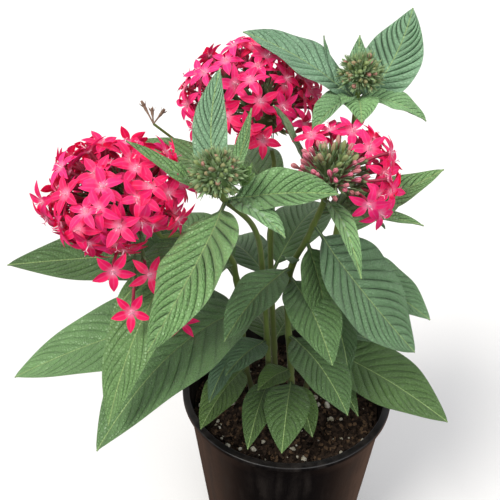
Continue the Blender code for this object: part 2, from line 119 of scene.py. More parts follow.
# Below the horizon the room is dark in front, with warm brown boards to the sides, which the pot mirrors.
across = add(tree, "ShaderNodeMath", {0: way.outputs["X"]}, operation="ABSOLUTE")
aside = add(tree, "ShaderNodeMapRange", {0: across, 1: 0.2, 2: 0.6})
behind = add(tree, "ShaderNodeMapRange", {0: way.outputs["Y"], 1: -0.3, 2: 0.25})
boards = add(tree, "ShaderNodeMath", {0: aside, 1: behind}, operation="MULTIPLY")
low = add(
    tree, "ShaderNodeMix", {0: boards, MIX_A: linear("#2E2520"), MIX_B: linear("#E0B49C")}, data_type="RGBA"
)
room = add(tree, "ShaderNodeMix", {0: sky_share, MIX_A: low, MIX_B: linear("#FBFCFF")}, data_type="RGBA")
tree.links.new(room.outputs[2], tree.nodes["Background"].inputs["Color"])
tree.nodes["Background"].inputs["Strength"].default_value = 0.62
bpy.context.scene.world = world

# A wide sheet of uncoated paper, matt and almost white, with a grain of about 2 mm.
paper, tree, shader = finish_of("white_paper", Roughness=0.9, Specular_IOR_Level=0.1)
place = add(tree, "ShaderNodeTexCoord").outputs["Object"]
grain = add(tree, "ShaderNodeTexNoise", {"Vector": place, "Scale": 600})
shade = add(
    tree, "ShaderNodeMix", {0: grain, MIX_A: linear("#FAF9F8"), MIX_B: linear("#FEFDFC")}, data_type="RGBA"
)
tree.links.new(shade.outputs[2], shader.inputs["Base Color"])
FLOOR_HALF = 6.0
corners = [(x * FLOOR_HALF, y * FLOOR_HALF, 0) for x, y in ((-1, -1), (1, -1), (1, 1), (-1, 1))]
floor_mesh = bpy.data.meshes.new("studio_floor")
floor_mesh.from_pydata(corners, [], [(0, 1, 2, 3)])
floor_mesh.materials.append(paper)
floor = bpy.data.objects.new("studio_floor", floor_mesh)
bpy.context.scene.collection.objects.link(floor)
floor.visible_diffuse = False
floor.visible_glossy = False


# The pot. A thin nursery pot of black polypropylene, injection moulded, with a lip turned out at its
# mouth and six drain holes in its base. It is worked out in millimetres, as every piece is.
MM = 0.001
POT_HEIGHT = 143.0
RIM_RADIUS = 70.0
LIP_DROP = 3.4
WALL_TOP_RADIUS = 66.6
BASE_RADIUS = 54.0
WALL = 1.3


def skin(rings, slots=0, **traits):
    """Quads between neighbouring rings and round each ring, and a fan over each end.

    rings is (items, steps, around, 3), each ring turning anticlockwise as seen from the way ahead, so
    that the faces look outwards. slots gives the finish of each strip round the ring. traits are
    numbers for the surface, of any shape that spreads over (items, steps, around).
    """
    rings = np.asarray(rings, float)
    items, steps, around = rings.shape[:3]
    each = steps * around
    points = np.concatenate([rings.reshape(items, each, 3), rings[:, [0, -1]].mean(axis=2)], axis=1)
    step, turn = np.meshgrid(np.arange(steps - 1), np.arange(around), indexing="ij")
    here = step * around + turn
    there = step * around + (turn + 1) % around
    quads = np.stack([here, there, there + around, here + around], -1).reshape(-1, 4)
    turn = np.arange(around)
    following = (turn + 1) % around
    last = each - around
    heel = np.stack([following, turn, np.full(around, each)], -1)
    toe = np.stack([last + turn, last + following, np.full(around, each + 1)], -1)
    start = np.arange(items)[:, None, None] * (each + 2)
    strips = np.broadcast_to(slots, (around,))
    kept = {}
    for name, values in traits.items():
        spread_out = np.broadcast_to(values, (items, steps, around)).astype(float)
        ends = spread_out[:, [0, -1]].mean(axis=2)
        kept[name] = np.concatenate([spread_out.reshape(items, each), ends], axis=1).ravel()
    return {
        "points": points.reshape(-1, 3),
        "quads": (quads + start).reshape(-1, 4),
        "tris": (np.concatenate([heel, toe]) + start).reshape(-1, 3),
        "quad_slots": np.tile(np.tile(strips, steps - 1), items),
        "tri_slots": np.tile(np.tile(strips, 2), items),
        "traits": kept,
    }


def piece(name, skins, finishes, nodes, sharp=50):
    """One object at the origin from several skins, in metres, with its traits as attributes of its points."""
    count = np.cumsum([0] + [len(s["points"]) for s in skins])
    points = np.concatenate([s["points"] for s in skins]) * MM
    quads = np.concatenate([s["quads"] + c for s, c in zip(skins, count)])
    tris = np.concatenate([s["tris"] + c for s, c in zip(skins, count)])
    mesh = bpy.data.meshes.new(name)
    mesh.vertices.add(len(points))
    mesh.vertices.foreach_set("co", points.ravel())
    mesh.loops.add(quads.size + tris.size)
    mesh.loops.foreach_set("vertex_index", np.concatenate([quads.ravel(), tris.ravel()]))
    mesh.polygons.add(len(quads) + len(tris))
    starts = np.concatenate([np.arange(len(quads)) * 4, quads.size + np.arange(len(tris)) * 3])
    mesh.polygons.foreach_set("loop_start", starts)
    slots = [s["quad_slots"] for s in skins] + [s["tri_slots"] for s in skins]
    mesh.polygons.foreach_set("material_index", np.concatenate(slots).astype(np.int32))
    mesh.update(calc_edges=True)
    for trait in sorted({t for s in skins for t in s["traits"]}):
        values = [s["traits"].get(trait, np.zeros(len(s["points"]))) for s in skins]
        mesh.attributes.new(trait, "FLOAT", "POINT").data.foreach_set("value", np.concatenate(values))
    for finish in finishes:
        mesh.materials.append(finish)
    mesh.shade_smooth()
    mesh.set_sharp_from_angle(angle=math.radians(sharp))
    made = bpy.data.objects.new(name, mesh)
    bpy.context.scene.collection.objects.link(made)
    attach(made, "root")
    if nodes:
        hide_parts(*nodes)
    return made


def circle(around):
    """The angles of around points, evenly spaced on a turn."""
    return np.arange(around) * 2 * np.pi / around


def turned(profile, around):
    """Rings of a solid of revolution about Z: each (radius, z) of the profile carried round a circle."""
    radius, height = np.array(profile, float).T
    angle = circle(around)
    x = radius[:, None] * np.cos(angle)
    y = radius[:, None] * np.sin(angle)
    return np.stack([x, y, np.broadcast_to(height[:, None], x.shape)], -1)[None]


def arc(centre, radius, start, end, count=5):
    """Points of a rounded corner: a circle's arc from start to end, in degrees."""
    angle = np.radians(np.linspace(start, end, count))
    return [(centre[0] + radius * math.cos(a), centre[1] + radius * math.sin(a)) for a in angle]


def wall_radius(z):
    """The outer radius of the tapered wall at height z, a straight line from foot to lip."""
    return BASE_RADIUS + (WALL_TOP_RADIUS - BASE_RADIUS) * z / (POT_HEIGHT - LIP_DROP)


# The profile runs from the middle of the base, out round the foot, up the wall and over the lip, and back
# down the inside to the floor of the pot.
FOOT_ROUND = 3.6
LIP_ROUND = 0.8
LIP_EDGE_ROUND = 0.6
MOUTH_ROUND = 1.0
FLOOR = 1.8
CENTRE = 2
lip_low = POT_HEIGHT - LIP_DROP
outside = [(CENTRE, 0), (30, 0), (47, 0)]
outside += arc((BASE_RADIUS - FOOT_ROUND, FOOT_ROUND), FOOT_ROUND, -90, -5, 7)
outside += [(wall_radius(z), z) for z in np.linspace(6, lip_low - 0.4, 12)]
outside += [(WALL_TOP_RADIUS + 0.3, lip_low)]
outside += arc((RIM_RADIUS - LIP_EDGE_ROUND, lip_low + LIP_EDGE_ROUND), LIP_EDGE_ROUND, -90, 0)
outside += arc((RIM_RADIUS - LIP_ROUND, POT_HEIGHT - LIP_ROUND), LIP_ROUND, 0, 90)
inside = arc((WALL_TOP_RADIUS - 0.2, POT_HEIGHT - MOUTH_ROUND), MOUTH_ROUND, 90, 180)
inside += [(wall_radius(z) - WALL, z) for z in np.linspace(lip_low - 1, 7, 10)]
inside += [(49.4, FLOOR + 0.6), (46, FLOOR), (30, FLOOR), (CENTRE, FLOOR)]

moulded, tree, shader = finish_of("moulded_black_polypropylene", IOR=1.49, Specular_IOR_Level=0.5)
place = add(tree, "ShaderNodeTexCoord").outputs["Object"]
# Fine moulding grain, dust in broad patches, and faint rubs that run down the wall.
dust = add(tree, "ShaderNodeTexNoise", {"Vector": place, "Scale": 28, "Detail": 6, "Roughness": 0.65})
stretched = add(tree, "ShaderNodeMapping", {"Vector": place, "Scale": (170, 170, 9)})
rubs = add(tree, "ShaderNodeTexNoise", {"Vector": stretched, "Scale": 1.0, "Detail": 3})
worn = add(tree, "ShaderNodeMath", {0: dust, 1: rubs}, operation="MULTIPLY")
share = add(tree, "ShaderNodeMapRange", {0: worn, 1: 0.2, 2: 0.42})
shade = add(
    tree, "ShaderNodeMix", {0: share, MIX_A: linear("#0F0D0E"), MIX_B: linear("#2B2623")}, data_type="RGBA"
)
tree.links.new(shade.outputs[2], shader.inputs["Base Color"])
rough = add(tree, "ShaderNodeMapRange", {0: worn, 1: 0.2, 2: 0.45, 3: 0.3, 4: 0.55})
tree.links.new(rough.outputs[0], shader.inputs["Roughness"])
pebble = add(tree, "ShaderNodeTexNoise", {"Vector": place, "Scale": 1300, "Detail": 2})
bump = add(tree, "ShaderNodeBump", {"Height": pebble, "Strength": 0.12, "Distance": 0.0004})
tree.links.new(bump.outputs[0], shader.inputs["Normal"])
pot = piece("nursery_pot", [skin(turned(outside + inside, 180))], [moulded], ["pot"], 40)

# Round holes are cut through the base, in a ring, for water to drain.
DRAIN_HOLES = 6
DRAIN_RADIUS = 5.0
DRAIN_RING = 41.0
centres = circle(DRAIN_HOLES) + np.pi / DRAIN_HOLES
pegs = turned([(DRAIN_RADIUS, -2), (DRAIN_RADIUS, 4)], 32) + np.zeros((DRAIN_HOLES, 1, 1, 1))
pegs[..., 0] += DRAIN_RING * np.cos(centres)[:, None, None]
pegs[..., 1] += DRAIN_RING * np.sin(centres)[:, None, None]
cutter = piece("drain_cutter", [skin(pegs)], [], [])
cut = pot.modifiers.new("drain_holes", "BOOLEAN")
cut.object = cutter
cut.solver = "MANIFOLD"
drilled = bpy.data.meshes.new_from_object(pot.evaluated_get(bpy.context.evaluated_depsgraph_get()))
pot.modifiers.clear()
pot.data = drilled
bpy.data.objects.remove(cutter)


# The soil. Peat and bark fines with white perlite, tipped in and pressed down round the stems, so that
# its top is crumbly and lies a little under the rim.
SOIL_TOP = 125.0


def soil_height(x, y):
    """A slight mound, 3 cos(distance / 40), with two waves of lumps on it."""
    mound = 3.0 * np.cos(np.hypot(x, y) / 40)
    lumps = 0.9 * np.sin(x * 0.23 + 1.0) * np.cos(y * 0.27) + 0.6 * np.sin(x * 0.41 - y * 0.35)
    return SOIL_TOP - 3.0 + mound + lumps


def crumbly(x, y, shortest, longest, waves, seed):
    """The mean of many plane waves in random directions, each of a length between shortest and longest."""
    rng = np.random.default_rng(seed)
    heading = rng.uniform(0, 2 * np.pi, waves)
    rate = 2 * np.pi / rng.uniform(shortest, longest, waves)
    offset = rng.uniform(0, 2 * np.pi, waves)
    run = x[..., None] * np.cos(heading) + y[..., None] * np.sin(heading)
    return np.sin(run * rate + offset).sum(-1) / math.sqrt(waves)


# The bed fills the pot to just inside its wall. The rings of its top are laid out flat and then raised.
SOIL_GAP = 0.5
SOIL_EDGE = 63.2
rows = [(49, 2.1), (51.8, 7)]
rows += [(wall_radius(z) - WALL - SOIL_GAP, z) for z in np.linspace(20, 119, 8)]
foot_rows = len(rows)
rows += [(radius, 0) for radius in np.linspace(SOIL_EDGE, CENTRE, 62)]
bed = turned(rows, 170)
x, y = bed[0, foot_rows:, :, 0], bed[0, foot_rows:, :, 1]
edge = np.clip((64 - np.hypot(x, y)) / 6, 0.3, 1)
clods = 0.55 * crumbly(x, y, 3, 9, 26, 3)
fines = 0.2 * crumbly(x, y, 1.2, 2.5, 20, 4)
bed[0, foot_rows:, :, 2] = soil_height(x, y) + edge * (clods + fines)


def lumps(centres, sizes, seed, steps=3, around=6):
    """Rough little balls: rings by latitude, squashed at random and turned, with each point shifted a bit."""
    rng = np.random.default_rng(seed)
    count = len(centres)
    lean = np.linspace(0, np.pi, steps + 2)[1:-1]
    angle = circle(around)
    radius = np.sin(lean)[:, None]
    level = np.broadcast_to(-np.cos(lean)[:, None], (steps, around))
    ball = np.stack([radius * np.cos(angle), radius * np.sin(angle), level], -1)
    ball = ball * rng.uniform(0.6, 1.25, (count, 1, 1, 3)) * rng.uniform(0.8, 1.2, (count, steps, around, 1))
    turns = np.linalg.qr(rng.normal(size=(count, 3, 3)))[0]
    turns *= np.sign(np.linalg.det(turns))[:, None, None]
    ball = np.einsum("nij,nsaj->nsai", turns, ball)
    return centres[:, None, None] + ball * sizes[:, None, None, None]


def scattered(count, reach, seed, stand):
    """Spots spread evenly over the bed: at reach * sqrt(share) from its middle, and stand above it."""
    rng = np.random.default_rng(seed)
    distance = reach * np.sqrt(rng.random(count))
    angle = rng.uniform(0, 2 * np.pi, count)
    x, y = distance * np.cos(angle), distance * np.sin(angle)
    return np.stack([x, y, soil_height(x, y) + stand], -1)


# Crumbs and flat chips of bark lie loose on the bed.
CRUMBS = 1500
BARK_CHIPS = 70
CHIP_FLATNESS = 0.6
rng = np.random.default_rng(8)
crumbs = lumps(scattered(CRUMBS, 62.5, 5, 0.3), rng.uniform(0.5, 1.9, CRUMBS), 6)
chips = lumps(scattered(BARK_CHIPS, 59, 12, 0.9), rng.uniform(1.5, 3.0, BARK_CHIPS), 13)
chip_level = chips[..., 2].mean(axis=(1, 2), keepdims=True)
chips[..., 2] = chips[..., 2] * CHIP_FLATNESS + chip_level * (1 - CHIP_FLATNESS)

peat, tree, shader = finish_of("damp_peat", Roughness=0.95, Specular_IOR_Level=0.2)
place = add(tree, "ShaderNodeTexCoord").outputs["Object"]
# Crumbs of about 2 mm in browns from near black to bark, with fibres of half a millimetre.
grains = add(tree, "ShaderNodeTexVoronoi", {"Vector": place, "Scale": 480})
fibres = add(tree, "ShaderNodeTexNoise", {"Vector": place, "Scale": 1600, "Detail": 3})
spots = add(tree, "ShaderNodeSeparateColor", {0: grains.outputs["Color"]})
dark = add(
    tree,
    "ShaderNodeMix",
    {0: spots.outputs["Red"], MIX_A: linear("#1B1410"), MIX_B: linear("#4A3B30")},
    data_type="RGBA",
)
bark = add(tree, "ShaderNodeMapRange", {0: spots.outputs["Green"], 1: 0.86, 2: 0.9})
shade = add(tree, "ShaderNodeMix", {0: bark, MIX_A: dark, MIX_B: linear("#6E5843")}, data_type="RGBA")
tree.links.new(shade.outputs[2], shader.inputs["Base Color"])
relief = add(tree, "ShaderNodeMath", {0: grains.outputs["Distance"], 1: fibres}, operation="ADD")
bump = add(tree, "ShaderNodeBump", {"Height": relief, "Strength": 0.7, "Distance": 0.0008})
tree.links.new(bump.outputs[0], shader.inputs["Normal"])
piece("potting_soil", [skin(bed), skin(crumbs), skin(chips)], [peat], ["soil"], 60)

puffed, tree, shader = finish_of("expanded_perlite", Roughness=0.85)
place = add(tree, "ShaderNodeTexCoord").outputs["Object"]
# Puffed volcanic glass: chalky white to cream, pitted, and stained by the peat.
stain = add(tree, "ShaderNodeTexNoise", {"Vector": place, "Scale": 330, "Detail": 4})
share = add(tree, "ShaderNodeMapRange", {0: stain, 1: 0.42, 2: 0.66})
shade = add(
    tree, "ShaderNodeMix", {0: share, MIX_A: linear("#E9E5D4"), MIX_B: linear("#A39D80")}, data_type="RGBA"
)
tree.links.new(shade.outputs[2], shader.inputs["Base Color"])
pits = add(tree, "ShaderNodeTexVoronoi", {"Vector": place, "Scale": 1500})
bump = add(tree, "ShaderNodeBump", {"Height": pits.outputs["Distance"], "Strength": 0.6, "Distance": 0.0004})
tree.links.new(bump.outputs[0], shader.inputs["Normal"])
SMALL_GRAINS = 60
LARGE_GRAINS = 52
grain_spots = np.concatenate([scattered(SMALL_GRAINS, 61, 21, 0.6), scattered(LARGE_GRAINS, 61, 27, 0.9)])
grain_sizes = np.concatenate([rng.uniform(0.5, 1.1, SMALL_GRAINS), rng.uniform(1.2, 2.4, LARGE_GRAINS)])
piece("perlite_grains", [skin(lumps(grain_spots, grain_sizes, 22, 4, 8))], [puffed], [], 60)


# The five leafy stems. Living green shoots, a little woody at the foot, which carry pairs of long
# pointed leaves with sunken side veins, a pale midrib and a coat of fine hairs.
STEM_FOOT = 100.0
STEM_FOOT_RADIUS = 2.4
STEM_TIP_RADIUS = 1.3
HEAD_GAP = 0.3
# Each stem: its foot in the soil, points on its way up, the base of its head, and the way that head faces.
STEMS = {
    "front": (
        (-10, -8),
        [(-12, -9, 160), (-17, -12, 238), (-22, -22, 276)],
        (-38, -48, 313),
        (-0.1, -0.4, 0.9),
    ),
    "left": (
        (-23, 4),
        [(-28, 2, 160), (-32, 0, 222), (-38, -4, 250), (-58, -15, 268)],
        (-74, -27, 279),
        (-0.35, -0.35, 0.87),
    ),
    "right": (
        (3, -11),
        [(2, -14, 160), (-3, -19, 238), (6, -24, 272)],
        (13, -30, 301),
        (0.1, -0.2, 0.97),
    ),
    "back": (
        (-6, 11),
        [(-8, 11, 160), (-12, 12, 240), (-11, 18, 276)],
        (-12, 26, 301),
        (-0.2, 0.05, 0.95),
    ),
    "top": (
        (14, 5),
        [(19, 8, 160), (26, 13, 240), (31, 14, 300)],
        (33, 18, 338),
        (0.05, -0.2, 0.97),
    ),
}

# Each leaf: height on the stem, tip, width, arch, roll and fold in degrees, and bow.
LEAVES = {
    "front": [
        (304, (-70, -98, 258), 38, 0.14, 15, 4, -0.10),
        (304, (14, -63, 318), 24, 0.02, 30, 20, -0.05),
        (303, (-9, -73, 302), 15, 0.12, 0, 10, 0),
        (306, (-78, -51, 338), 11, -0.02, -20, 12, 0),
        (307, (-39, -4, 356), 18, -0.02, -10, 16, -0.08),
        (306, (-24, -24, 343), 8, -0.06, 0, 10, 0),
        (218, (-101, -98, 193), 54, 0.12, 0, 6, 0.04),
        (153, (-26, -60, 148), 20, 0.14, 0, 8, 0),
        (188, (-39, -38, 186), 22, 0.12, 0, 8, 0),
    ],
    "left": [
        (252, (-157, -24, 255), 40, 0.01, -22, 10, 0),
        (205, (-167, -31, 178), 52, 0.06, -14, 6, 0),
        (262, (-93, -98, 211), 34, 0.18, 0, 6, 0),
        (264, (-86, -66, 262), 20, 0.10, 0, 10, 0),
        (240, (-72, -44, 238), 14, 0.1, 0, 10, 0),
        (176, (-50, -33, 158), 16, 0.14, 0, 10, 0),
        (154, (-55, -44, 147), 25, 0.12, 0, 8, 0),
        (228, (-86, 66, 236), 36, 0.12, 0, 10, 0),
        (184, (-92, 44, 180), 34, 0.14, 0, 10, 0),
    ],
    "right": [
        (250, (-38, -61, 232), 26, 0.12, 0, 10, 0),
        (244, (18, -68, 222), 30, 0.12, 0, 8, 0),
        (296, (-13, -26, 345), 13, -0.06, 0, 14, 0.3),
        (297, (24, -83, 287), 10, 0.14, 0, 16, 0),
        (288, (76, -11, 306), 22, -0.06, 15, 12, 0),
        (291, (62, -38, 288), 12, 0.04, 10, 12, 0),
        (281, (66, -49, 214), 50, 0.0, 16, 10, 0.03),
        (294, (50, -12, 271), 18, 0.10, 10, 12, 0),
        (198, (30, -64, 181), 32, 0.14, 0, 8, 0),
        (168, (-20, -32, 168), 18, 0.14, 0, 8, 0),
        (158, (-6, -63, 148), 28, 0.14, 0, 8, 0),
        (156, (14, -46, 142), 18, 0.14, 0, 8, 0),
        (254, (-6, -36, 268), 10, 0.0, 0, 14, 0),
        (270, (17, -42, 226), 26, 0.08, 0, 8, 0),
    ],
    "back": [
        (283, (-99, 20, 309), 29, 0.0, -16, 10, 0),
        (262, (-38, 112, 268), 38, 0.14, 0, 10, 0),
        (222, (34, 100, 226), 38, 0.14, 0, 10, 0),
        (216, (-52, 92, 196), 36, 0.14, 0, 10, 0),
        (164, (-26, 62, 155), 28, 0.16, 0, 8, 0),
        (168, (14, 60, 158), 24, 0.14, 0, 8, 0),
    ],
    "top": [
        (331, (62, 42, 375), 34, -0.12, 20, 8, 0.02),
        (331, (-28, 24, 367), 28, 0.06, -25, 10, 0),
        (331, (15, 32, 363), 7, -0.14, 0, 12, 0),
        (333, (69, 8, 325), 17, 0.12, 15, 12, 0),
        (333, (7, -8, 325), 18, 0.14, 0, 26, 0),
        (332, (31, -11, 331), 20, 0.16, 0, 8, 0),
        (331, (36, 46, 360), 14, -0.14, 0, 12, 0),
        (236, (79, -27, 219), 34, 0.04, 10, 10, 0),
        (246, (78, 78, 244), 38, 0.12, 0, 10, 0),
        (168, (93, -50, 160), 42, 0.06, 14, 8, 0),
        (206, (35, -31, 180), 20, 0.16, 0, 8, 0),
        (178, (57, -2, 180), 14, 0.12, 0, 8, 0),
        (182, (76, 54, 166), 34, 0.14, 0, 8, 0),
        (160, (42, -40, 154), 16, 0.12, 0, 8, 0),
    ],
}

# The broad leaf low on the front stem, by its place in that list.
BROAD_LOW_LEAF = 6

# Leaves darker, or paler, than others at their height, by tip: the change of tone. It stands partly for
# age and partly for painted shade on the darker leaves and painted light on the paler ones.
TONE_AND_SHADE_SHIFTS = {
    (-157, -24, 255): -0.42,
    (66, -49, 214): -0.38,
    (-167, -31, 178): 0.35,
    (-28, 24, 367): -0.25,
    (93, -50, 160): 0.15,
}


def unit(vectors):
    """Each vector over its own length."""
    return vectors / np.linalg.norm(vectors, axis=-1, keepdims=True)


def smooth_through(points, count):
    """count + 1 points on the Catmull-Rom curve through points: cubic pieces that share their slopes."""
    spots = np.array(points, float)
    ends = np.vstack([2 * spots[0] - spots[1], spots, 2 * spots[-1] - spots[-2]])
    along = np.linspace(0, len(spots) - 1, count + 1)
    first = np.minimum(along.astype(int), len(spots) - 2)
    t = (along - first)[:, None]
    a, b, c, d = (ends[first + k] for k in range(4))
    return 0.5 * (2 * b + (c - a) * t + (2 * a - 5 * b + 4 * c - d) * t**2 + (3 * b - a - 3 * c + d) * t**3)


def tubes(paths, radii, around):
    """Rings along paths of (items, steps, 3): path + radius * (cos * across + sin * upward) round a turn.

    The radii spread over (items, steps), or over (items, steps, around) where a ring isn't round.
    """
    paths = np.asarray(paths, float)
    ahead = unit(np.gradient(paths, axis=1))
    level = np.where(np.abs(ahead[:, :1, :1]) > 0.8, (0.0, 1.0, 0.0), (1.0, 0.0, 0.0))
    across = unit(level - ahead * (level * ahead).sum(-1, keepdims=True))
    upward = np.cross(ahead, across)
    angle = circle(around)[:, None]
    spokes = across[:, :, None] * np.cos(angle) + upward[:, :, None] * np.sin(angle)
    radii = radii if np.ndim(radii) == 3 else np.broadcast_to(radii, paths.shape[:2])[..., None]
    return paths[:, :, None] + spokes * radii[..., None]


# A leaf blade: its stalk's share of the length, half widths in mm, and the powers of its outline.
PETIOLE_SHARE = 0.1
PETIOLE_HALF = 1.2
TIP_HALF = 0.45
WIDEST_FROM = 0.7
WIDEST_TO = 0.95
VEIN_SWEEP = 0.27
VEIN_BEND = 1.08
UP = np.array([0.0, 0.0, 1.0])


def quilting(height):
    """How strongly a leaf swells between its veins, and how strongly its relief is painted in shade and
    light: most on the young ones above.
    """
    if height > 285:
        return 1.1, 0.95
    if height > 270:
        return 0.8, 0.7
    return 0.45, 0.4


def blade(base, plan, pairs, steps, strips):
    """A leaf's rings and traits, from its base on the stem to its tip.

    The midrib is a Bezier curve of three points. The outline is a narrow petiole, then
    (along / peak) ** 0.7 * ((1 - along) / (1 - peak)) ** 0.95 of the half width. The halves are
    folded up a little, the margin ripples, and the blade swells between its pairs of side veins by
    sin(pi * away from the vein) ** 0.65. Each ring follows a vein, forward by
    0.27 * reach ** 1.08 * sin(pi * row) of the length, and its two parts are the top and the underside.
    """
    height, tip, width, arch, roll, fold, bow = plan
    tip = np.array(tip, float)
    chord = tip - base
    length = np.linalg.norm(chord)
    side = unit(np.cross(chord / length, UP))
    lift = np.cross(side, chord / length)
    bend = base + chord * 0.45 + (lift * arch + side * bow) * 2 * length
    run = np.linspace(-1, 1, strips + 1)
    top = np.sign(run) * np.abs(run) ** 1.5
    low = np.linspace(1, -1, strips // 2 + 1)
    across = np.concatenate([top, low])[None]
    above = np.concatenate([np.ones(len(top)), -np.ones(len(low))])[None]
    reach = np.abs(across)
    row = np.linspace(0, 1, steps)[:, None]
    share = (row + VEIN_SWEEP * reach**VEIN_BEND * np.sin(np.pi * row))[..., None]
    spot = base * (1 - share) ** 2 + bend * 2 * share * (1 - share) + tip * share**2
    forward = unit((bend - base) * (1 - share) + (tip - bend) * share)
    side = unit(side - forward * (forward @ side)[..., None])
    turn = math.radians(roll)
    side = side * math.cos(turn) + np.cross(forward, side) * math.sin(turn)
    normal = np.cross(side, forward)

    share = share[..., 0]
    along = np.clip((share - PETIOLE_SHARE) / (1 - PETIOLE_SHARE), 0, 1)
    peak = WIDEST_FROM / (WIDEST_FROM + WIDEST_TO)
    oval = (along / peak) ** WIDEST_FROM * ((1 - along) / (1 - peak)) ** WIDEST_TO
    half = np.maximum(PETIOLE_HALF + (TIP_HALF - PETIOLE_HALF) * along, width / 2 * oval)

    ripple = np.sin(2 * np.pi * 2.6 * share + 2.1 * across + height)
    wave = 1.1 * min(1, width / 30) * ripple * across**2 * np.sin(np.pi * share)
    vein = pairs * np.clip((row - PETIOLE_SHARE) / (1 - PETIOLE_SHARE), 0, 1) ** 0.92 + 0 * reach
    away = np.abs(vein - np.round(vein))
    puff = np.sin(np.pi * away) ** 0.65
    inner = np.clip(reach * 5, 0, 1) * np.clip((1 - reach) * 4, 0, 1) * np.clip(along * 8, 0, 1)
    inner *= np.clip((1 - along) * 5, 0, 1)
    swell = min(2.3, 0.062 * width) * quilting(height)[0] * (puff - 0.7) * inner
    channel = -0.6 * np.exp(-((reach * half / 1.1) ** 2)) * np.clip(along * 6, 0, 1)
    top_skin = 0.17 + 0.5 * (1 - np.clip(along * 12, 0, 1))
    ribbed_skin = 0.17 + 0.75 * np.exp(-((reach * half / 0.9) ** 2)) * (1 - 0.75 * along)
    body = np.where(reach > 0.999, 0.06, np.where(above > 0, top_skin, ribbed_skin))
    lean = math.radians(fold)
    rise = reach * half * math.sin(lean) + wave + swell + channel + above * body
    rings = spot + side * (across * half * math.cos(lean))[..., None] + normal * rise[..., None]
    return rings, {"vein": vein, "rib": reach * half, "along": along, "reach": reach + 0 * along}


# The finishes of a leafy stem, by number.
RIND, FACE, UNDERSIDE, DRIED = range(4)
# A leaf's pairs of side veins, rows along it and strips across it, if it is wider than so many mm.
LEAF_GRIDS = ((28, (13, 130, 20)), (15, (11, 100, 16)), (0, (8, 56, 10)))


def leaf_skins(line, plans, seed):
    """The skins of a stem's leaves, each with a tone and a hue.

    The tone is 0.75 of the height's share of the way up, and a random quarter: 0 is aged and dark, and 1
    young and pale; its fall towards the foot is partly age and partly painted shade on the lower leaves.
    The hue goes from yellowish, -1, at the foot to blue-grey, 1, at the top, where it is a painted sheen,
    the sky's light reflected by the highest leaves.
    """
    rng = np.random.default_rng(seed)
    made = []
    for plan in plans:
        height, tip, width = plan[:3]
        base = np.array([np.interp(height, line[:, 2], line[:, k]) for k in range(3)])
        pairs, steps, strips = next(grid for least, grid in LEAF_GRIDS if width > least)
        rings, traits = blade(base, plan, pairs, steps, strips)
        # The tone is lower on lower leaves, partly for age and partly as painted shade where the foliage
        # crowds.
        tone = np.clip((height - 170) / 140, 0, 1) * 0.75 + rng.uniform(0, 0.25)
        tone = max(tone + TONE_AND_SHADE_SHIFTS.get(tip, 0), 0.08)
        # The 0.9 added to the hue at the highest tips is a painted blue-grey sheen, the sky's light
        # reflected.
        hue = rng.uniform(-0.4, 0.4) + 0.9 * (tip[2] > 350) - 0.9 * (150 < height < 170)
        slots = [FACE] * strips + [UNDERSIDE] * (strips // 2 + 2)
        traits = {name: value[None] for name, value in traits.items()}
        made.append(skin(rings[None], slots, tone=tone, hue=hue, quilt=quilting(height)[1], **traits))
    return made


bark_green, tree, shader = finish_of(
    "hairy_green_stem", Roughness=0.6, Sheen_Weight=0.25, Sheen_Roughness=0.5
)
place = add(tree, "ShaderNodeTexCoord").outputs["Object"]
# A living rind with fine lengthwise ribs, browner towards the soil.
drawn = add(tree, "ShaderNodeMapping", {"Vector": place, "Scale": (900, 900, 60)})
ribs = add(tree, "ShaderNodeTexNoise", {"Vector": drawn, "Scale": 1.0, "Detail": 3})
level = add(tree, "ShaderNodeSeparateXYZ", {0: place}).outputs["Z"]
age = add(tree, "ShaderNodeMapRange", {0: level, 1: 0.13, 2: 0.2})
rind = add(
    tree, "ShaderNodeMix", {0: age, MIX_A: linear("#5A4A30"), MIX_B: linear("#7C9440")}, data_type="RGBA"
)
shade = add(tree, "ShaderNodeMix", {0: ribs, MIX_A: rind, MIX_B: linear("#55682C")}, data_type="RGBA")
tree.links.new(shade.outputs[2], shader.inputs["Base Color"])
bump = add(tree, "ShaderNodeBump", {"Height": ribs, "Strength": 0.5, "Distance": 0.0004})
tree.links.new(bump.outputs[0], shader.inputs["Normal"])


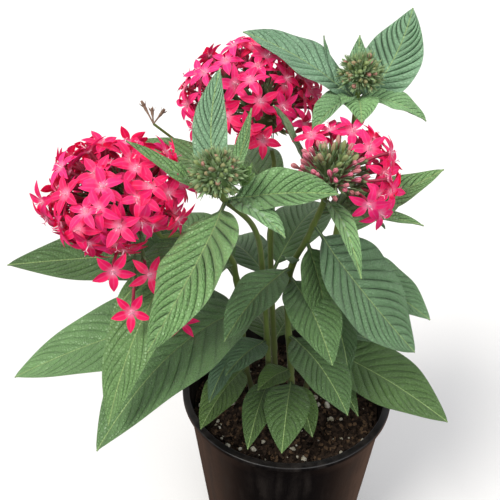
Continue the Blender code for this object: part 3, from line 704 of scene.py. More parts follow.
def leaf_finish(name, old_and_shaded, young, vein_shade, rib_shade, line_share, depth):
    """A leaf's skin: green between its aged and young colours by tone, in clouds, with its veins and midrib
    drawn on it.

    A side vein is a line of the vein colour where the vein number is whole: on the top it is dark, painted
    shade in the sunken vein. The strip between two veins is painted lighter at its ridge and darker towards
    its veins, painted light and shade of the quilted relief, and the midrib is a pale line of 0.4 mm. A net
    of 1.5 mm cells gives the small veins.
    """
    made, tree, shader = finish_of(name, Roughness=0.42, Sheen_Weight=0.1, Sheen_Roughness=0.45)
    place = add(tree, "ShaderNodeTexCoord").outputs["Object"]
    names = ("tone", "hue", "vein", "rib", "reach", "quilt")
    traits = {trait: add(tree, "ShaderNodeAttribute", attribute_name=trait).outputs["Fac"] for trait in names}

    # The green darkens towards the aged colour as the tone falls: partly age, partly painted shade on low
    # leaves.
    green = add(
        tree, "ShaderNodeMix", {0: traits["tone"], MIX_A: linear(old_and_shaded), MIX_B: linear(young)}, data_type="RGBA"
    )
    # Towards hue 1 the green turns blue-grey: a painted sheen of the sky's light on the highest leaves.
    sky_sheen_share = add(tree, "ShaderNodeMapRange", {0: traits["hue"], 1: 0.0, 2: 1.0, 3: 0.0, 4: 0.55})
    yellowish = add(tree, "ShaderNodeMapRange", {0: traits["hue"], 1: 0.0, 2: -1.0, 3: 0.0, 4: 0.5})
    sky_sheened = add(tree, "ShaderNodeMix", {0: sky_sheen_share, MIX_A: green, MIX_B: linear("#8FB79D")}, data_type="RGBA")
    warm = add(tree, "ShaderNodeMix", {0: yellowish, MIX_A: sky_sheened, MIX_B: linear("#6B8A35")}, data_type="RGBA")
    clouds = add(tree, "ShaderNodeTexNoise", {"Vector": place, "Scale": 55, "Detail": 4, "Roughness": 0.6})
    lights = add(tree, "ShaderNodeMapRange", {0: clouds, 1: 0.3, 2: 0.7, 3: 0.84, 4: 1.14})
    cloudy = add(tree, "ShaderNodeVectorMath", {0: warm, "Scale": lights}, operation="SCALE")

    soft = {"interpolation_type": "SMOOTHSTEP"}
    # The dark vein lines on the top are painted shade in the sunken veins, and the strip between two veins is
    # painted lighter at its ridge and darker beside its veins. The quilt trait sets how strong both are.
    away = add(tree, "ShaderNodeMath", {0: traits["vein"], 1: 0.5}, operation="PINGPONG")
    line = add(tree, "ShaderNodeMapRange", {0: away, 1: 0.0, 2: 0.075, 3: 1.0, 4: 0.0}, **soft)
    middle = add(tree, "ShaderNodeMapRange", {0: traits["rib"], 1: 0.15, 2: 0.42, 3: 0.85, 4: 0.0}, **soft)
    fade = add(tree, "ShaderNodeMapRange", {0: traits["reach"], 1: 0.8, 2: 0.97, 3: line_share, 4: 0.0})
    strong = add(tree, "ShaderNodeMath", {0: fade, 1: traits["quilt"]}, operation="MULTIPLY")
    drawn = add(tree, "ShaderNodeMath", {0: line, 1: strong}, operation="MULTIPLY")
    rise = add(tree, "ShaderNodeMapRange", {0: away, 1: 0.02, 2: 0.17, 3: -0.28, 4: 0.08}, **soft)
    painted_relief_light = add(tree, "ShaderNodeMath", {0: rise, 1: traits["quilt"], 2: 1.0}, operation="MULTIPLY_ADD")
    quilted = add(tree, "ShaderNodeVectorMath", {0: cloudy, "Scale": painted_relief_light}, operation="SCALE")
    veined = add(
        tree, "ShaderNodeMix", {0: drawn, MIX_A: quilted, MIX_B: linear(vein_shade)}, data_type="RGBA"
    )
    whole = add(tree, "ShaderNodeMix", {0: middle, MIX_A: veined, MIX_B: linear(rib_shade)}, data_type="RGBA")
    tree.links.new(whole.outputs[2], shader.inputs["Base Color"])

    net = add(tree, "ShaderNodeTexVoronoi", {"Vector": place, "Scale": 640}, feature="DISTANCE_TO_EDGE")
    mesh_lines = add(tree, "ShaderNodeMapRange", {0: net.outputs["Distance"], 1: 0.0, 2: 0.18})
    lowered = add(tree, "ShaderNodeMath", {0: drawn, 1: -1.0, 2: 1.0}, operation="MULTIPLY_ADD")
    height = add(tree, "ShaderNodeMath", {0: mesh_lines, 1: 0.5, 2: lowered}, operation="MULTIPLY_ADD")
    bump = add(tree, "ShaderNodeBump", {"Height": height, "Strength": 0.8, "Distance": depth})
    tree.links.new(bump.outputs[0], shader.inputs["Normal"])
    return made


# Above, the veins are sunk beside a pale midrib, and their dark lines are painted shade. Below, they stand
# out, paler than the leaf.
leaf_face = leaf_finish("downy_leaf_face", "#3A5A37", "#84AF6E", "#2F4B26", "#A0BC78", 0.5, 0.0009)
leaf_back = leaf_finish("pale_leaf_underside", "#6F8A64", "#94B088", "#A3BC92", "#B4CC9C", 0.6, -0.0004)


def stem_line(plan):
    """A stem's centre line in mm: a smooth run through its points, straight for its last 7 mm.

    It ends along the way its head faces, a little short of that head's base.
    """
    foot, path, base, faces = plan
    base, faces = np.array(base, float), unit(np.array(faces, float))
    points = [(*foot, STEM_FOOT), (*foot, SOIL_TOP + 4), *path, base - faces * 7]
    return np.vstack([smooth_through(points, 90), base - faces * 3.5, base - faces * HEAD_GAP])


def blades(starts, ahead, above, length, width, thick, rise, curl, steps=6, widest=0.42, cup=0.0):
    """Small pointed blades, as rings of eight points round a thin lens.

    With u the share of the length, the spine goes ahead by length * u, and above by
    length * (rise * u + curl * u * u). The half width is width / 2 *
    (u / widest) ** (widest / (1 - widest)) * (1 - u) / (1 - widest), and never quite nought. The sides
    lift by cup * half width * across ** 2.
    """
    each = (len(starts), 1, 1, 1)
    length, width, rise, curl = (
        np.broadcast_to(value, (len(starts),)).reshape(each) for value in (length, width, rise, curl)
    )
    u = np.linspace(0, 1, steps)[None, :, None, None]
    side = np.cross(ahead, above)[:, None, None]
    lift = length * (rise * u + curl * u**2)
    across = np.array([-1, -0.55, 0, 0.55, 1, 0.55, 0, -0.55])[:, None]
    above_or_below = np.array([0, 1, 1, 1, 0, -1, -1, -1])[:, None]
    power = widest / (1 - widest)
    half = width / 2 * np.maximum((u / widest) ** power * (1 - u) / (1 - widest), 0.3 * (1 - u) + 0.04)
    rings = (
        starts[:, None, None]
        + ahead[:, None, None] * length * u
        + side * half * across
        + above[:, None, None] * (lift + cup * half * across**2 + thick / 2 * above_or_below * (1 - 0.5 * u))
    )
    shape = rings.shape[:3]
    return rings, {
        "along": np.broadcast_to(u[..., 0], shape),
        "reach": np.broadcast_to(np.abs(across[:, 0]), shape),
    }


dried, tree, shader = finish_of("dried_calyx", Roughness=0.85)
place = add(tree, "ShaderNodeTexCoord").outputs["Object"]
# Withered cups and stalk ends: parchment brown, darker in blotches of a millimetre.
blotch = add(tree, "ShaderNodeTexNoise", {"Vector": place, "Scale": 900, "Detail": 3})
shade = add(
    tree, "ShaderNodeMix", {0: blotch, MIX_A: linear("#5E4634"), MIX_B: linear("#B49A86")}, data_type="RGBA"
)
tree.links.new(shade.outputs[2], shader.inputs["Base Color"])
SPENT_HEIGHT = 262
SPENT_SHOOT = [(-54, 48, 284), (-82, 46, 309)]
SPENT_TIPS = np.array([(-89, 52, 321), (-75, 49, 317), (-83, 51, 317)], float)
SPENT_RADIUS = 0.8


def spent_shoot(line):
    """A side shoot that has flowered: a thin curved stalk, and three straight withered cups at its end.

    A cup's radius runs from stalk to swollen cup to mouth by its share of the length.
    """
    start = [np.interp(SPENT_HEIGHT, line[:, 2], line[:, k]) for k in range(3)]
    stalk = smooth_through([start, *SPENT_SHOOT], 24)
    u = np.linspace(0, 1, 9)[None, :, None]
    paths = stalk[-1] + (SPENT_TIPS - stalk[-1])[:, None] * u
    radius = np.interp(u[0, :, 0], [0, 0.45, 0.6, 0.8, 1], [0.45, 0.5, 0.95, 1.0, 0.7])
    made = [skin(tubes(stalk[None], SPENT_RADIUS, 8), RIND), skin(tubes(paths, radius, 8), DRIED)]
    ahead = unit(SPENT_TIPS - stalk[-1])
    side = unit(np.cross(ahead, (0.3, 0.9, 0.2)))
    for turn in circle(5):
        out = side * math.cos(turn) + np.cross(ahead, side) * math.sin(turn)
        lobe = unit(ahead + out * 0.9)
        lobe_up = unit(np.cross(lobe, np.cross(ahead, lobe)))
        rings = blades(paths[:, 6] + out * 0.7, lobe, lobe_up, 3.2, 1.2, 0.3, 0.05, 0.2)[0]
        made.append(skin(rings, DRIED))
    return made


# A stem swells by a fifth at each of its leaves, over 3 mm or so.
JOINT_SWELL = 0.22
JOINT_LENGTH = 3.0
STEM_FINISHES = [bark_green, leaf_face, leaf_back, dried]
for number, (name, plan) in enumerate(STEMS.items()):
    line = stem_line(plan)
    taper = np.linspace(STEM_FOOT_RADIUS, STEM_TIP_RADIUS, len(line))
    joints = np.array([leaf_plan[0] for leaf_plan in LEAVES[name]])
    swollen = np.exp(-(((line[:, 2][:, None] - joints) / JOINT_LENGTH) ** 2)).max(axis=1)
    leaves = leaf_skins(line, LEAVES[name], 30 + number)
    skins = [skin(tubes(line[None], taper * (1 + JOINT_SWELL * swollen), 14), RIND), *leaves]
    if name == "front":
        broad_leaf = leaves[BROAD_LOW_LEAF]["points"]
    if name == "back":
        skins += spent_shoot(line)
    piece("leafy_stem_" + name, skins, STEM_FINISHES, ["stem_" + name], 60)


# The flower heads. Dense domes of small five pointed stars, each on a slim crimson tube that rises from
# a green cup. A ring of pale hairs closes each throat, and a pale forked style stands out of it.

# A spray is: how many stars, its centre, its reach in mm, how flat it is, how far round it goes in
# degrees, and a side to which it keeps. Loose stars have a spot and a facing each.
HEADS = {
    "head_left": {
        "base": (-74, -27, 279),
        "faces": (-0.35, -0.35, 0.87),
        "knob": 15,
        "sprays": [(26, (-87, -36, 303), 35, 0.7, 112, (0, 0, 0), -1.0)],
        "loose": [
            ((-86, -74, 285), (0.0, -0.9, 0.1)),
            ((-72, -64, 276), (0.35, -0.9, 0.2)),
            ((-80, -74, 262), (0.1, -0.8, 0.35)),
        ],
    },
    "head_back": {
        "base": (-12, 26, 301),
        "faces": (-0.2, 0.05, 0.95),
        "knob": 16,
        "sprays": [(25, (-23, 41, 326), 38, 0.85, 112, (0, 0, 0), -1.0)],
        "loose": [((-18, 2, 316), (0.1, -0.85, 0.4))],
    },
}
# A floret: its sizes are in mm.
PETALS = 5
PETAL_LENGTH = 9.6
PETAL_WIDTH = 4.5
PETAL_THICKNESS = 0.42
THROAT_RADIUS = 1.25
THROAT_HAIRS = 7
STYLE_RADIUS = 0.26
GOLDEN_TURN = math.pi * (3 - math.sqrt(5))


def spread(number, count, faces, widest):
    """The direction of one of count growths, spread evenly over a cap round faces.

    Its lean is arccos(1 - share * (1 - cos(widest))), and each turns on from the last by the golden angle.
    """
    share = (number + 0.5) / count
    lean = math.acos(1 - share * (1 - math.cos(widest)))
    turn = number * GOLDEN_TURN
    local = Vector((math.sin(lean) * math.cos(turn), math.sin(lean) * math.sin(turn), math.cos(lean)))
    return faces.to_track_quat("Z", "Y") @ local


def growths(sprays, faces, draw, turned_by=0.0, loose=0.2, uneven=0.0):
    """The spots, facings and spins of what grows on a head, with the draws in a fixed order.

    A spot is centre + outward * (1, 1, flat) * reach, with the reach drawn from near its full value, and
    a facing is the way outward with a random wobble.
    """
    made = []
    for count, centre, reach, flat, widest, side, least in sprays:
        for number in range(count):
            outward = spread(number + turned_by, count, faces, math.radians(widest))
            away = reach * draw.uniform(0.92 - uneven, 1.05 + uneven)
            wobble = Vector([draw.uniform(-loose, loose) for _ in range(3)])
            spin = draw.uniform(0, 2)
            if outward.dot(Vector(side)) > least:
                spot = Vector(centre) + outward * Vector((1, 1, flat)) * away
                made.append((spot, (outward + wobble).normalized(), spin))
    return made


# The finishes of a flower head, by number.
PETAL, THROAT, STYLE, TUBE, CALYX, BUD, YOUNG_LEAF = range(7)


def florets(stars, heart, seed, size=1.0):
    """The skins of open florets: petals, throat, hairs, style, forks, tube, and the cup that carries them.

    Petals and hairs go out at even turns round the facing. The style runs along its facing with a bow of
    u * u, and the tube is a Bezier curve from the heart of the head to the throat, with the cup as a
    swelling a third of the way along.
    """
    rng = np.random.default_rng(seed)
    count = len(stars)
    centre = np.array([star[0] for star in stars], float)
    facing = np.array([star[1] for star in stars], float)
    facing = unit(facing + rng.normal(0, 0.2, (count, 3)))
    axes = np.array([Vector(f).to_track_quat("Z", "Y").to_matrix() for f in facing], float)
    spin = np.array([star[2] for star in stars])
    tone = rng.random(count)

    angle = spin[:, None] + np.pi / 2 + circle(PETALS) + rng.normal(0, 0.06, (count, PETALS))
    flat = np.stack([np.cos(angle), np.sin(angle), np.zeros_like(angle)], -1)
    ahead = np.einsum("nij,npj->npi", axes, flat).reshape(-1, 3)
    above = np.repeat(facing, PETALS, axis=0)
    starts = np.repeat(centre, PETALS, axis=0) + ahead * THROAT_RADIUS * 0.7 + above * 0.35
    many = count * PETALS
    droop = np.repeat(rng.uniform(0.1, 0.5, count), PETALS) + rng.uniform(-0.08, 0.08, many)
    rings, traits = blades(
        starts,
        ahead,
        above,
        size * PETAL_LENGTH * rng.uniform(0.92, 1.06, many),
        size * PETAL_WIDTH * rng.uniform(0.88, 1.08, many),
        PETAL_THICKNESS,
        0.28,
        -droop,
        steps=8,
        cup=rng.uniform(0.1, 0.3),
    )
    made = [skin(rings, PETAL, tone=np.repeat(tone, PETALS)[:, None, None], **traits)]

    u = np.array([-0.6, 0.0, 0.45, 0.8, 0.85, 0.5])
    radius = THROAT_RADIUS * np.array([0.8, 1.25, 1.2, 0.8, 0.45, 0.2])
    path = centre[:, None] + facing[:, None] * u[None, :, None]
    made.append(skin(tubes(path, radius, 8), THROAT, along=0.5))

    hair_angle = circle(THROAT_HAIRS)[None] + rng.uniform(0, 1, (count, 1))
    hair_flat = np.stack([np.cos(hair_angle), np.sin(hair_angle), np.full_like(hair_angle, 0.9)], -1)
    hair_ahead = unit(np.einsum("nij,npj->npi", axes, hair_flat)).reshape(-1, 3)
    hair_facing = np.repeat(facing, THROAT_HAIRS, axis=0)
    hair_up = unit(np.cross(hair_ahead, np.cross(hair_facing, hair_ahead)))
    hair_start = np.repeat(centre, THROAT_HAIRS, axis=0) + hair_facing * 0.4 + hair_ahead * 0.6
    rings, traits = blades(hair_start, hair_ahead, hair_up, 1.5, 0.34, 0.2, 0.0, -0.1, steps=3)
    made.append(skin(rings, THROAT, **traits))

    lean = unit(facing + rng.normal(0, 0.18, (count, 3)))
    bow = rng.normal(0, 0.5, (count, 3))
    u = np.linspace(0, 1, 5)[None, :, None]
    style_length = rng.uniform(2.4, 4.4, count)[:, None, None]
    path = centre[:, None] + lean[:, None] * style_length * u + bow[:, None] * u**2
    made.append(skin(tubes(path, STYLE_RADIUS, 5), STYLE, along=1.0))
    sideways = unit(np.cross(lean, rng.normal(size=(count, 3))))
    for way in (1, -1):
        fork = unit(lean + way * 0.9 * sideways)
        fork_up = unit(np.cross(fork, np.cross(lean, fork)))
        rings, traits = blades(path[:, -1], fork, fork_up, 1.5, 0.6, 0.4, 0, -0.2, steps=4)
        made.append(skin(rings, STYLE, **traits))

    t = np.linspace(0, 1, 16)[None, :, None]
    root = (heart + (centre - heart) * 0.2)[:, None]
    pull = (centre - facing * 11)[:, None]
    mouth = (centre + facing * 0.3)[:, None]
    path = root * (1 - t) ** 2 + pull * 2 * t * (1 - t) + mouth * t**2
    shares = [0, 0.3, 0.36, 0.44, 0.5, 0.54, 0.9, 0.96, 1]
    radius = np.interp(t[0, :, 0], shares, [0.5, 0.5, 0.9, 1.3, 1.25, 0.8, 0.85, 1.25, 1.5])
    made.append(skin(tubes(path, radius, 7), TUBE, along=t, tone=tone[:, None, None]))

    cup_spot = path[:, 7]
    cup_ahead = unit(path[:, 9] - path[:, 6])
    cup_side = unit(np.cross(cup_ahead, (0.3, 0.2, 1.0)))
    for turn in circle(5):
        out = cup_side * math.cos(turn) + np.cross(cup_ahead, cup_side) * math.sin(turn)
        lobe_ahead = unit(cup_ahead * 0.8 + out)
        lobe_up = unit(np.cross(lobe_ahead, np.cross(-out + cup_ahead, lobe_ahead)))
        length = rng.uniform(2.0, 4.5, count)
        start = cup_spot + out * 0.9
        rings, traits = blades(start, lobe_ahead, lobe_up, length, 1.3, 0.3, 0.05, 0.2, steps=4)
        made.append(skin(rings, CALYX, tone=0.6, **traits))
    return made


def petal_finish():
    """Living petal: cerise, paler at the throat, in soft clouds, with a faint pale keel and rim that are
    painted highlights.
    """
    made, tree, shader = finish_of(
        "cerise_petal", Roughness=0.55, Specular_IOR_Level=0.3, Subsurface_Weight=0.15
    )
    shader.inputs["Subsurface Radius"].default_value = (0.002, 0.0006, 0.001)
    place = add(tree, "ShaderNodeTexCoord").outputs["Object"]
    along = add(tree, "ShaderNodeAttribute", attribute_name="along").outputs["Fac"]
    tone = add(tree, "ShaderNodeAttribute", attribute_name="tone").outputs["Fac"]
    reach = add(tree, "ShaderNodeAttribute", attribute_name="reach").outputs["Fac"]
    cerise = add(
        tree, "ShaderNodeMix", {0: tone, MIX_A: linear("#FF1462"), MIX_B: linear("#FF3088")}, data_type="RGBA"
    )
    base = add(tree, "ShaderNodeMapRange", {0: along, 1: 0.04, 2: 0.3, 3: 0.75, 4: 0.0})
    pale = add(tree, "ShaderNodeMix", {0: base, MIX_A: cerise, MIX_B: linear("#F99CBE")}, data_type="RGBA")
    clouds = add(tree, "ShaderNodeTexNoise", {"Vector": place, "Scale": 420, "Detail": 3})
    blotch = add(tree, "ShaderNodeMapRange", {0: clouds, 1: 0.45, 2: 0.75, 3: 0.0, 4: 0.45})
    mottled = add(tree, "ShaderNodeMix", {0: blotch, MIX_A: pale, MIX_B: linear("#F80E4C")}, data_type="RGBA")
    # The pale keel and rim are painted highlights, where a petal's fold and edge catch the light.
    keel = add(tree, "ShaderNodeMapRange", {0: reach, 1: 0.0, 2: 0.22, 3: 0.3, 4: 0.0})
    rim = add(tree, "ShaderNodeMapRange", {0: reach, 1: 0.78, 2: 1.0, 3: 0.0, 4: 0.22})
    keel_and_rim_highlight = add(tree, "ShaderNodeMath", {0: keel, 1: rim}, operation="ADD")
    whole = add(tree, "ShaderNodeMix", {0: keel_and_rim_highlight, MIX_A: mottled, MIX_B: linear("#FF7CAE")}, data_type="RGBA")
    tree.links.new(whole.outputs[2], shader.inputs["Base Color"])
    bump = add(tree, "ShaderNodeBump", {"Height": clouds, "Strength": 0.4, "Distance": 0.0003})
    tree.links.new(bump.outputs[0], shader.inputs["Normal"])
    return made


petal = petal_finish()

throat, tree, shader = finish_of("pale_throat", Roughness=0.6, Sheen_Weight=0.4)
place = add(tree, "ShaderNodeTexCoord").outputs["Object"]
# A tuft of short hairs in pale pink, almost white in small flecks.
tuft = add(tree, "ShaderNodeTexNoise", {"Vector": place, "Scale": 1400})
shade = add(
    tree, "ShaderNodeMix", {0: tuft, MIX_A: linear("#F4719F"), MIX_B: linear("#FCC0D2")}, data_type="RGBA"
)
tree.links.new(shade.outputs[2], shader.inputs["Base Color"])

style, tree, shader = finish_of("waxy_style", Roughness=0.4)
along = add(tree, "ShaderNodeAttribute", attribute_name="along").outputs["Fac"]
# A waxy thread, pink at its foot and nearly white at the fork.
shade = add(
    tree, "ShaderNodeMix", {0: along, MIX_A: linear("#F58DB0"), MIX_B: linear("#FBD6E0")}, data_type="RGBA"
)
tree.links.new(shade.outputs[2], shader.inputs["Base Color"])

tube_finish, tree, shader = finish_of("crimson_tube", Roughness=0.5, Sheen_Weight=0.15)
along = add(tree, "ShaderNodeAttribute", attribute_name="along").outputs["Fac"]
place = add(tree, "ShaderNodeTexCoord").outputs["Object"]
# The stalk is green, and the flower's tube is dark crimson, lighter and darker in small clouds.
flush = add(tree, "ShaderNodeTexNoise", {"Vector": place, "Scale": 300})
crimson = add(
    tree, "ShaderNodeMix", {0: flush, MIX_A: linear("#7A0C2E"), MIX_B: linear("#B81848")}, data_type="RGBA"
)
low = add(tree, "ShaderNodeMapRange", {0: along, 1: 0.5, 2: 0.56})
stalk = add(tree, "ShaderNodeMix", {0: low, MIX_A: linear("#54663A"), MIX_B: crimson}, data_type="RGBA")
tree.links.new(stalk.outputs[2], shader.inputs["Base Color"])

calyx, tree, shader = finish_of("green_calyx", Roughness=0.6, Sheen_Weight=0.2)
along = add(tree, "ShaderNodeAttribute", attribute_name="along").outputs["Fac"]
place = add(tree, "ShaderNodeTexCoord").outputs["Object"]
# Small leafy lobes, dark at the foot and greyish green at the point.
speckle = add(tree, "ShaderNodeTexNoise", {"Vector": place, "Scale": 700, "Detail": 3})
tip_green = add(
    tree, "ShaderNodeMix", {0: speckle, MIX_A: linear("#86A66E"), MIX_B: linear("#B0C898")}, data_type="RGBA"
)
shade = add(tree, "ShaderNodeMix", {0: along, MIX_A: linear("#587838"), MIX_B: tip_green}, data_type="RGBA")
tree.links.new(shade.outputs[2], shader.inputs["Base Color"])


def core(heart, radius, count, seed, lobe):
    """The dark middle of a head: a ball round its heart, thick with small green lobes that point out.

    The lobes are spread evenly by the golden angle, with z falling by equal steps from the top.
    """
    rng = np.random.default_rng(seed)
    ball = lumps(np.array([heart], float), np.array([radius * 0.72]), seed, 9, 18)
    turn = np.arange(count) * GOLDEN_TURN
    z = 1 - (np.arange(count) + 0.5) / count * 1.8
    flat = np.sqrt(1 - z**2)
    out = np.stack([flat * np.cos(turn), flat * np.sin(turn), z], -1)
    ahead = unit(out + rng.normal(0, 0.35, out.shape))
    above = unit(np.cross(ahead, np.cross(rng.normal(size=out.shape), ahead)))
    starts = heart + out * radius * 0.6
    rings, traits = blades(starts, ahead, above, lobe, lobe * 0.28, 0.4, 0, 0.1, steps=4)
    return [skin(ball, CALYX, along=0.1, tone=0.3), skin(rings, CALYX, tone=0.5, **traits)]


HEART_RISE = 1.3


def heart_of(plan):
    """The way a head faces, and its heart, which is its base plus 1.3 of its knob's radius that way."""
    faces = Vector(plan["faces"]).normalized()
    return faces, np.array(Vector(plan["base"]) + faces * plan["knob"] * HEART_RISE)


CORE_LOBES = 110
CORE_LOBE_LENGTH = 8.0


def head_skins(name, plan, seed):
    """All that makes one pink head: the stars of the plan, more between them, and the green heart.

    The stars between stand on two more domes, at 0.95 and 0.84 of the first one's reach.
    """
    faces, heart = heart_of(plan)
    stars = growths(plan["sprays"], faces, random.Random(name))
    count, centre, reach, flat, widest, side, least = plan["sprays"][0]
    between = [
        (count + 10, centre, reach * 0.95, flat, widest, side, least),
        (count + 8, centre, reach * 0.84, flat, widest + 6, side, least),
    ]
    stars += growths(between, faces, random.Random(name + "_between"), 0.5, 0.45, 0.05)
    stars += [(Vector(spot), Vector(facing).normalized(), 0.6) for spot, facing in plan["loose"]]
    made = florets(stars, heart, seed)
    return made + core(heart, plan["knob"] * 1.1, CORE_LOBES, seed + 5, CORE_LOBE_LENGTH)


FLOWER_FINISHES = [petal, throat, style, tube_finish, calyx]
for number, (name, plan) in enumerate(HEADS.items()):
    piece("flower_" + name, head_skins(name, plan, 50 + number * 10), FLOWER_FINISHES, [name], 60)

# A shed corolla lies on the broad leaf below the left head, with its petals, throat and hairs alone.
SHED_AT = (-62, -38)
SHED_LIFT = 1.6
SHED_PARTS = 3
resting = broad_leaf[np.argmin(np.hypot(broad_leaf[:, 0] - SHED_AT[0], broad_leaf[:, 1] - SHED_AT[1]))]
shed_star = (Vector(resting) + Vector((0, 0, SHED_LIFT)), Vector((-0.3, -0.35, 0.9)).normalized(), 0.4)
shed = florets([shed_star], resting, 77)
piece("shed_floret", shed[:SHED_PARTS], FLOWER_FINISHES, [], 60)


# The bud heads. Tight green domes of buds, each in a cup with small leafy lobes. The oldest, at the
# right, has long maroon buds with pink tips and has begun to open on its far side.
BUD_HEADS = {
    "buds_right": {
        "base": (13, -30, 301),
        "faces": (0.1, -0.2, 0.97),
        "knob": 6,
        "buds": ("capsule", 30, (14, -33, 314), 18.5, 0.95, 105, (-0.8, -0.5, 0.3), -0.75),
        "stars": (22, (21, -27, 311), 26, 0.85, 105, (0.9, 0.4, 0.0), 0.35),
        "leaflets": None,
    },
    "buds_front": {
        "base": (-38, -48, 313),
        "faces": (-0.1, -0.4, 0.9),
        "knob": 7.5,
        "buds": ("bud", 27, (-40, -52, 322), 12.5, 1.0, 112, (0, 0, 0), -1.0),
        "stars": None,
        "leaflets": [
            (7, (-26, -50, 322), 6, 1.0, 80, (0, 0, 0), -1.0),
            (9, (-26, -50, 321), 4.5, 1.0, 95, (0, 0, 0), -1.0),
        ],
    },
    "buds_top": {
        "base": (33, 18, 338),
        "faces": (0.05, -0.2, 0.97),
        "knob": 6.5,
        "buds": ("bud", 25, (33, 16, 347), 11.5, 1.0, 112, (0, 0, 0), -1.0),
        "stars": None,
        "leaflets": None,
    },
}
# More stars of the head at the right, which opened late, between and beside those of its spray.
LATE_STARS = [
    ((30, -52, 307), (-0.1, -0.85, 0.3)),
    ((6, -14, 325), (-0.3, -0.4, 0.9)),
    ((16, -9, 326), (-0.1, -0.4, 0.9)),
    ((27, -10, 326), (0.2, -0.4, 0.9)),
    ((36, -15, 322), (0.5, -0.4, 0.8)),
    ((44, -25, 316), (0.8, -0.5, 0.5)),
    ((42, -40, 308), (0.5, -0.8, 0.4)),
    ((37, -46, 299), (0.5, -0.8, 0.1)),
    ((45, -30, 303), (0.9, -0.5, 0.1)),
    ((33, -25, 323), (0.4, -0.6, 0.7)),
    ((40, -33, 314), (0.5, -0.7, 0.5)),
    ((11, -3, 320), (-0.3, -0.1, 0.9)),
    ((22, -1, 323), (0, 0, 1)),
    ((36, -44, 308), (0.3, -0.9, 0.3)),
]
# The young leaves beside the front bud head all grow from one point.
LEAFLET_ROOT = (-28.0, -50.0, 316.0)

# A bud's outline by kind: its radius in mm at shares of its length.
BUD_SHARES = {
    "bud": [0, 0.45, 0.5, 0.58, 0.66, 0.72, 0.78, 0.86, 0.93, 0.98, 1.0],
    "capsule": [0, 0.24, 0.28, 0.34, 0.4, 0.45, 0.76, 0.86, 0.94, 0.98, 1.0],
}
BUD_RADII = {
    "bud": [0.4, 0.45, 0.7, 1.2, 1.2, 0.95, 1.05, 1.15, 1.05, 0.65, 0.25],
    "capsule": [0.4, 0.45, 0.8, 1.1, 1.05, 0.55, 0.6, 1.15, 1.25, 0.8, 0.3],
}


def buds(kind, spots, heart, ripe, seed):
    """The skins of closed buds: a stalk, a cup with five lobes, and the bud, ribbed by its folded petals.

    Each is one tube from the heart of the head, with a sway of sin(pi * t), and its tip is ribbed by
    1 + 0.09 * cos(5 * angle).
    """
    rng = np.random.default_rng(seed)
    spots = np.array(spots, float)
    count = len(spots)
    t = np.linspace(0, 1, 25)[None, :, None]
    root = heart + (spots - heart) * 0.15
    sway = rng.normal(0, 0.9, (count, 1, 3)) * np.sin(np.pi * t)
    path = root[:, None] + (spots - root)[:, None] * t + sway
    size = rng.uniform(0.82, 1.12, count)[:, None, None]
    radius = np.interp(t[0, :, 0], BUD_SHARES[kind], BUD_RADII[kind])[None, :, None] * size
    along = np.interp(t, BUD_SHARES[kind], BUD_SHARES["bud"])
    ribs = np.cos(5 * circle(10))[None, None]
    folds = 1 + 0.09 * ribs * np.clip((t - 0.7) * 8, 0, 1)
    rings = tubes(path, radius * folds, 10)
    made = [skin(rings, BUD, along=along, tone=ripe[:, None, None], reach=0.5 + 0.5 * ribs)]
    ahead = unit(spots - root)
    side = unit(np.cross(ahead, (0.31, 0.22, 0.9)))
    where = path[:, int(np.searchsorted(t[0, :, 0], BUD_SHARES[kind][4]))]
    for turn in circle(5):
        out = side * math.cos(turn) + np.cross(ahead, side) * math.sin(turn)
        lobe_ahead = unit(ahead * rng.uniform(0.8, 2.4, (count, 1)) + out)
        lobe_up = unit(np.cross(lobe_ahead, np.cross(ahead - out * 0.5, lobe_ahead)))
        length = rng.uniform(3.0, 5.8, count)
        start = where + out * 0.95
        rings, traits = blades(start, lobe_ahead, lobe_up, length, 1.5, 0.3, 0.05, 0.15, steps=4)
        made.append(skin(rings, CALYX, tone=0.5, **traits))
    return made


bud_finish, tree, shader = finish_of("pink_tipped_bud", Roughness=0.5, Sheen_Weight=0.15)
along = add(tree, "ShaderNodeAttribute", attribute_name="along").outputs["Fac"]
tone = add(tree, "ShaderNodeAttribute", attribute_name="tone").outputs["Fac"]
reach = add(tree, "ShaderNodeAttribute", attribute_name="reach").outputs["Fac"]
place = add(tree, "ShaderNodeTexCoord").outputs["Object"]
# Ripe buds have a maroon neck and a rosy tip with paler seams, and young ones are green to tan.
flush = add(tree, "ShaderNodeTexNoise", {"Vector": place, "Scale": 380, "Detail": 2})
tip_young = add(
    tree, "ShaderNodeMix", {0: flush, MIX_A: linear("#6A8846"), MIX_B: linear("#9DAE70")}, data_type="RGBA"
)
tip_ripe = add(
    tree, "ShaderNodeMix", {0: reach, MIX_A: linear("#C8305E"), MIX_B: linear("#EE8FA8")}, data_type="RGBA"
)
tip_shade = add(tree, "ShaderNodeMix", {0: tone, MIX_A: tip_young, MIX_B: tip_ripe}, data_type="RGBA")
neck = add(
    tree, "ShaderNodeMix", {0: tone, MIX_A: linear("#667A38"), MIX_B: linear("#8C2340")}, data_type="RGBA"
)
end = add(tree, "ShaderNodeMapRange", {0: along, 1: 0.76, 2: 0.86})
upper = add(tree, "ShaderNodeMix", {0: end, MIX_A: neck, MIX_B: tip_shade}, data_type="RGBA")
cupped = add(tree, "ShaderNodeMapRange", {0: along, 1: 0.66, 2: 0.7})
green = add(
    tree, "ShaderNodeMix", {0: flush, MIX_A: linear("#587036"), MIX_B: linear("#8AA066")}, data_type="RGBA"
)
whole = add(tree, "ShaderNodeMix", {0: cupped, MIX_A: green, MIX_B: upper}, data_type="RGBA")
tree.links.new(whole.outputs[2], shader.inputs["Base Color"])

BUD_FINISHES = [petal, throat, style, tube_finish, calyx, bud_finish, leaf_face]
INNER_BUDS = 6
INNER_REACH = 0.86
GROWN_LEAN = 0.72


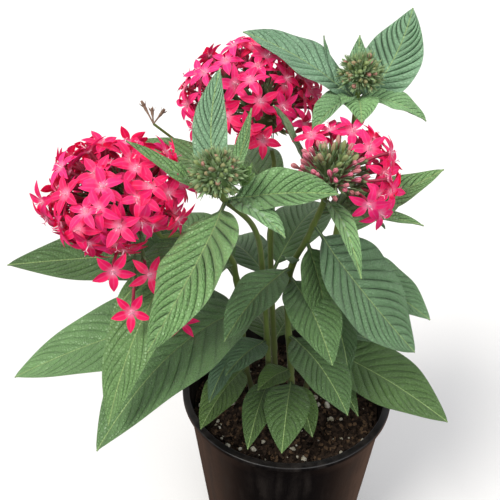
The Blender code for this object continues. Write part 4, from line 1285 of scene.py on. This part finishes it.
def closed_buds(number, name, plan, draw, rng):
    """The skins of a head's buds: the spray of the plan, and a fuller one at 0.86 of its reach.

    Where the head has begun to open, buds that lean from its facing by a cosine under 0.72 are grown and
    ripe. The others are young, with a ripeness of 0.6 * share ** 2.
    """
    faces, heart = heart_of(plan)
    kind, *spray = plan["buds"]
    count, centre, reach, flat, widest, side, least = spray
    inner = (count + INNER_BUDS, centre, reach * INNER_REACH, flat, widest, side, least)
    grown_out = growths([tuple(spray)], faces, draw)
    grown_out += growths([inner], faces, random.Random(name + "_inner"), 0.5)
    spots = np.array([growth[0] for growth in grown_out], float)
    lean = unit(spots - np.array(centre, float)) @ np.array(faces)
    grown = (lean < GROWN_LEAN) & (kind == "capsule")
    ripe = 0.6 * rng.random(len(spots)) ** 2
    made = buds("bud", spots[~grown], heart, ripe[~grown], 80 + number)
    if grown.any():
        made += buds(kind, spots[grown], heart, rng.uniform(0.7, 1.0, grown.sum()), 85 + number)
    return made


LEAFLET_WIDTH = 3.0


def young_leaves(plan, faces, draw, rng):
    """The skins of a tuft of young leaves: small blades from one root to spots spread over two caps."""
    tips = np.array([growth[0] for growth in growths(plan["leaflets"], faces, draw)], float)
    root = np.zeros_like(tips) + LEAFLET_ROOT
    ahead = unit(tips - root)
    above = unit(np.cross(ahead, np.cross(rng.normal(size=ahead.shape), ahead)))
    length = np.linalg.norm(tips - root, axis=1)
    rings, traits = blades(root, ahead, above, length, LEAFLET_WIDTH, 0.4, 0.0, 0.1, steps=6)
    return [skin(rings, YOUNG_LEAF, tone=1.0, hue=-1.0, vein=0.5, rib=2.0, **traits)]


STAR_SIZE = 0.97
BUD_CORE_LOBES = 60
BUD_CORE_LOBE_LENGTH = 5.0
for number, (name, plan) in enumerate(BUD_HEADS.items()):
    faces, heart = heart_of(plan)
    draw = random.Random(name)
    rng = np.random.default_rng(70 + number)
    skins = closed_buds(number, name, plan, draw, rng)
    if plan["stars"]:
        stars = growths([plan["stars"]], faces, draw)
        stars += [(Vector(spot), Vector(facing).normalized(), spot[0]) for spot, facing in LATE_STARS]
        skins += florets(stars, heart, 90, STAR_SIZE)
    if plan["leaflets"]:
        skins += young_leaves(plan, faces, draw, rng)
    skins += core(heart, plan["knob"] * 1.2, BUD_CORE_LOBES, 95 + number, BUD_CORE_LOBE_LENGTH)
    piece("flower_" + name, skins, BUD_FINISHES, [name], 60)
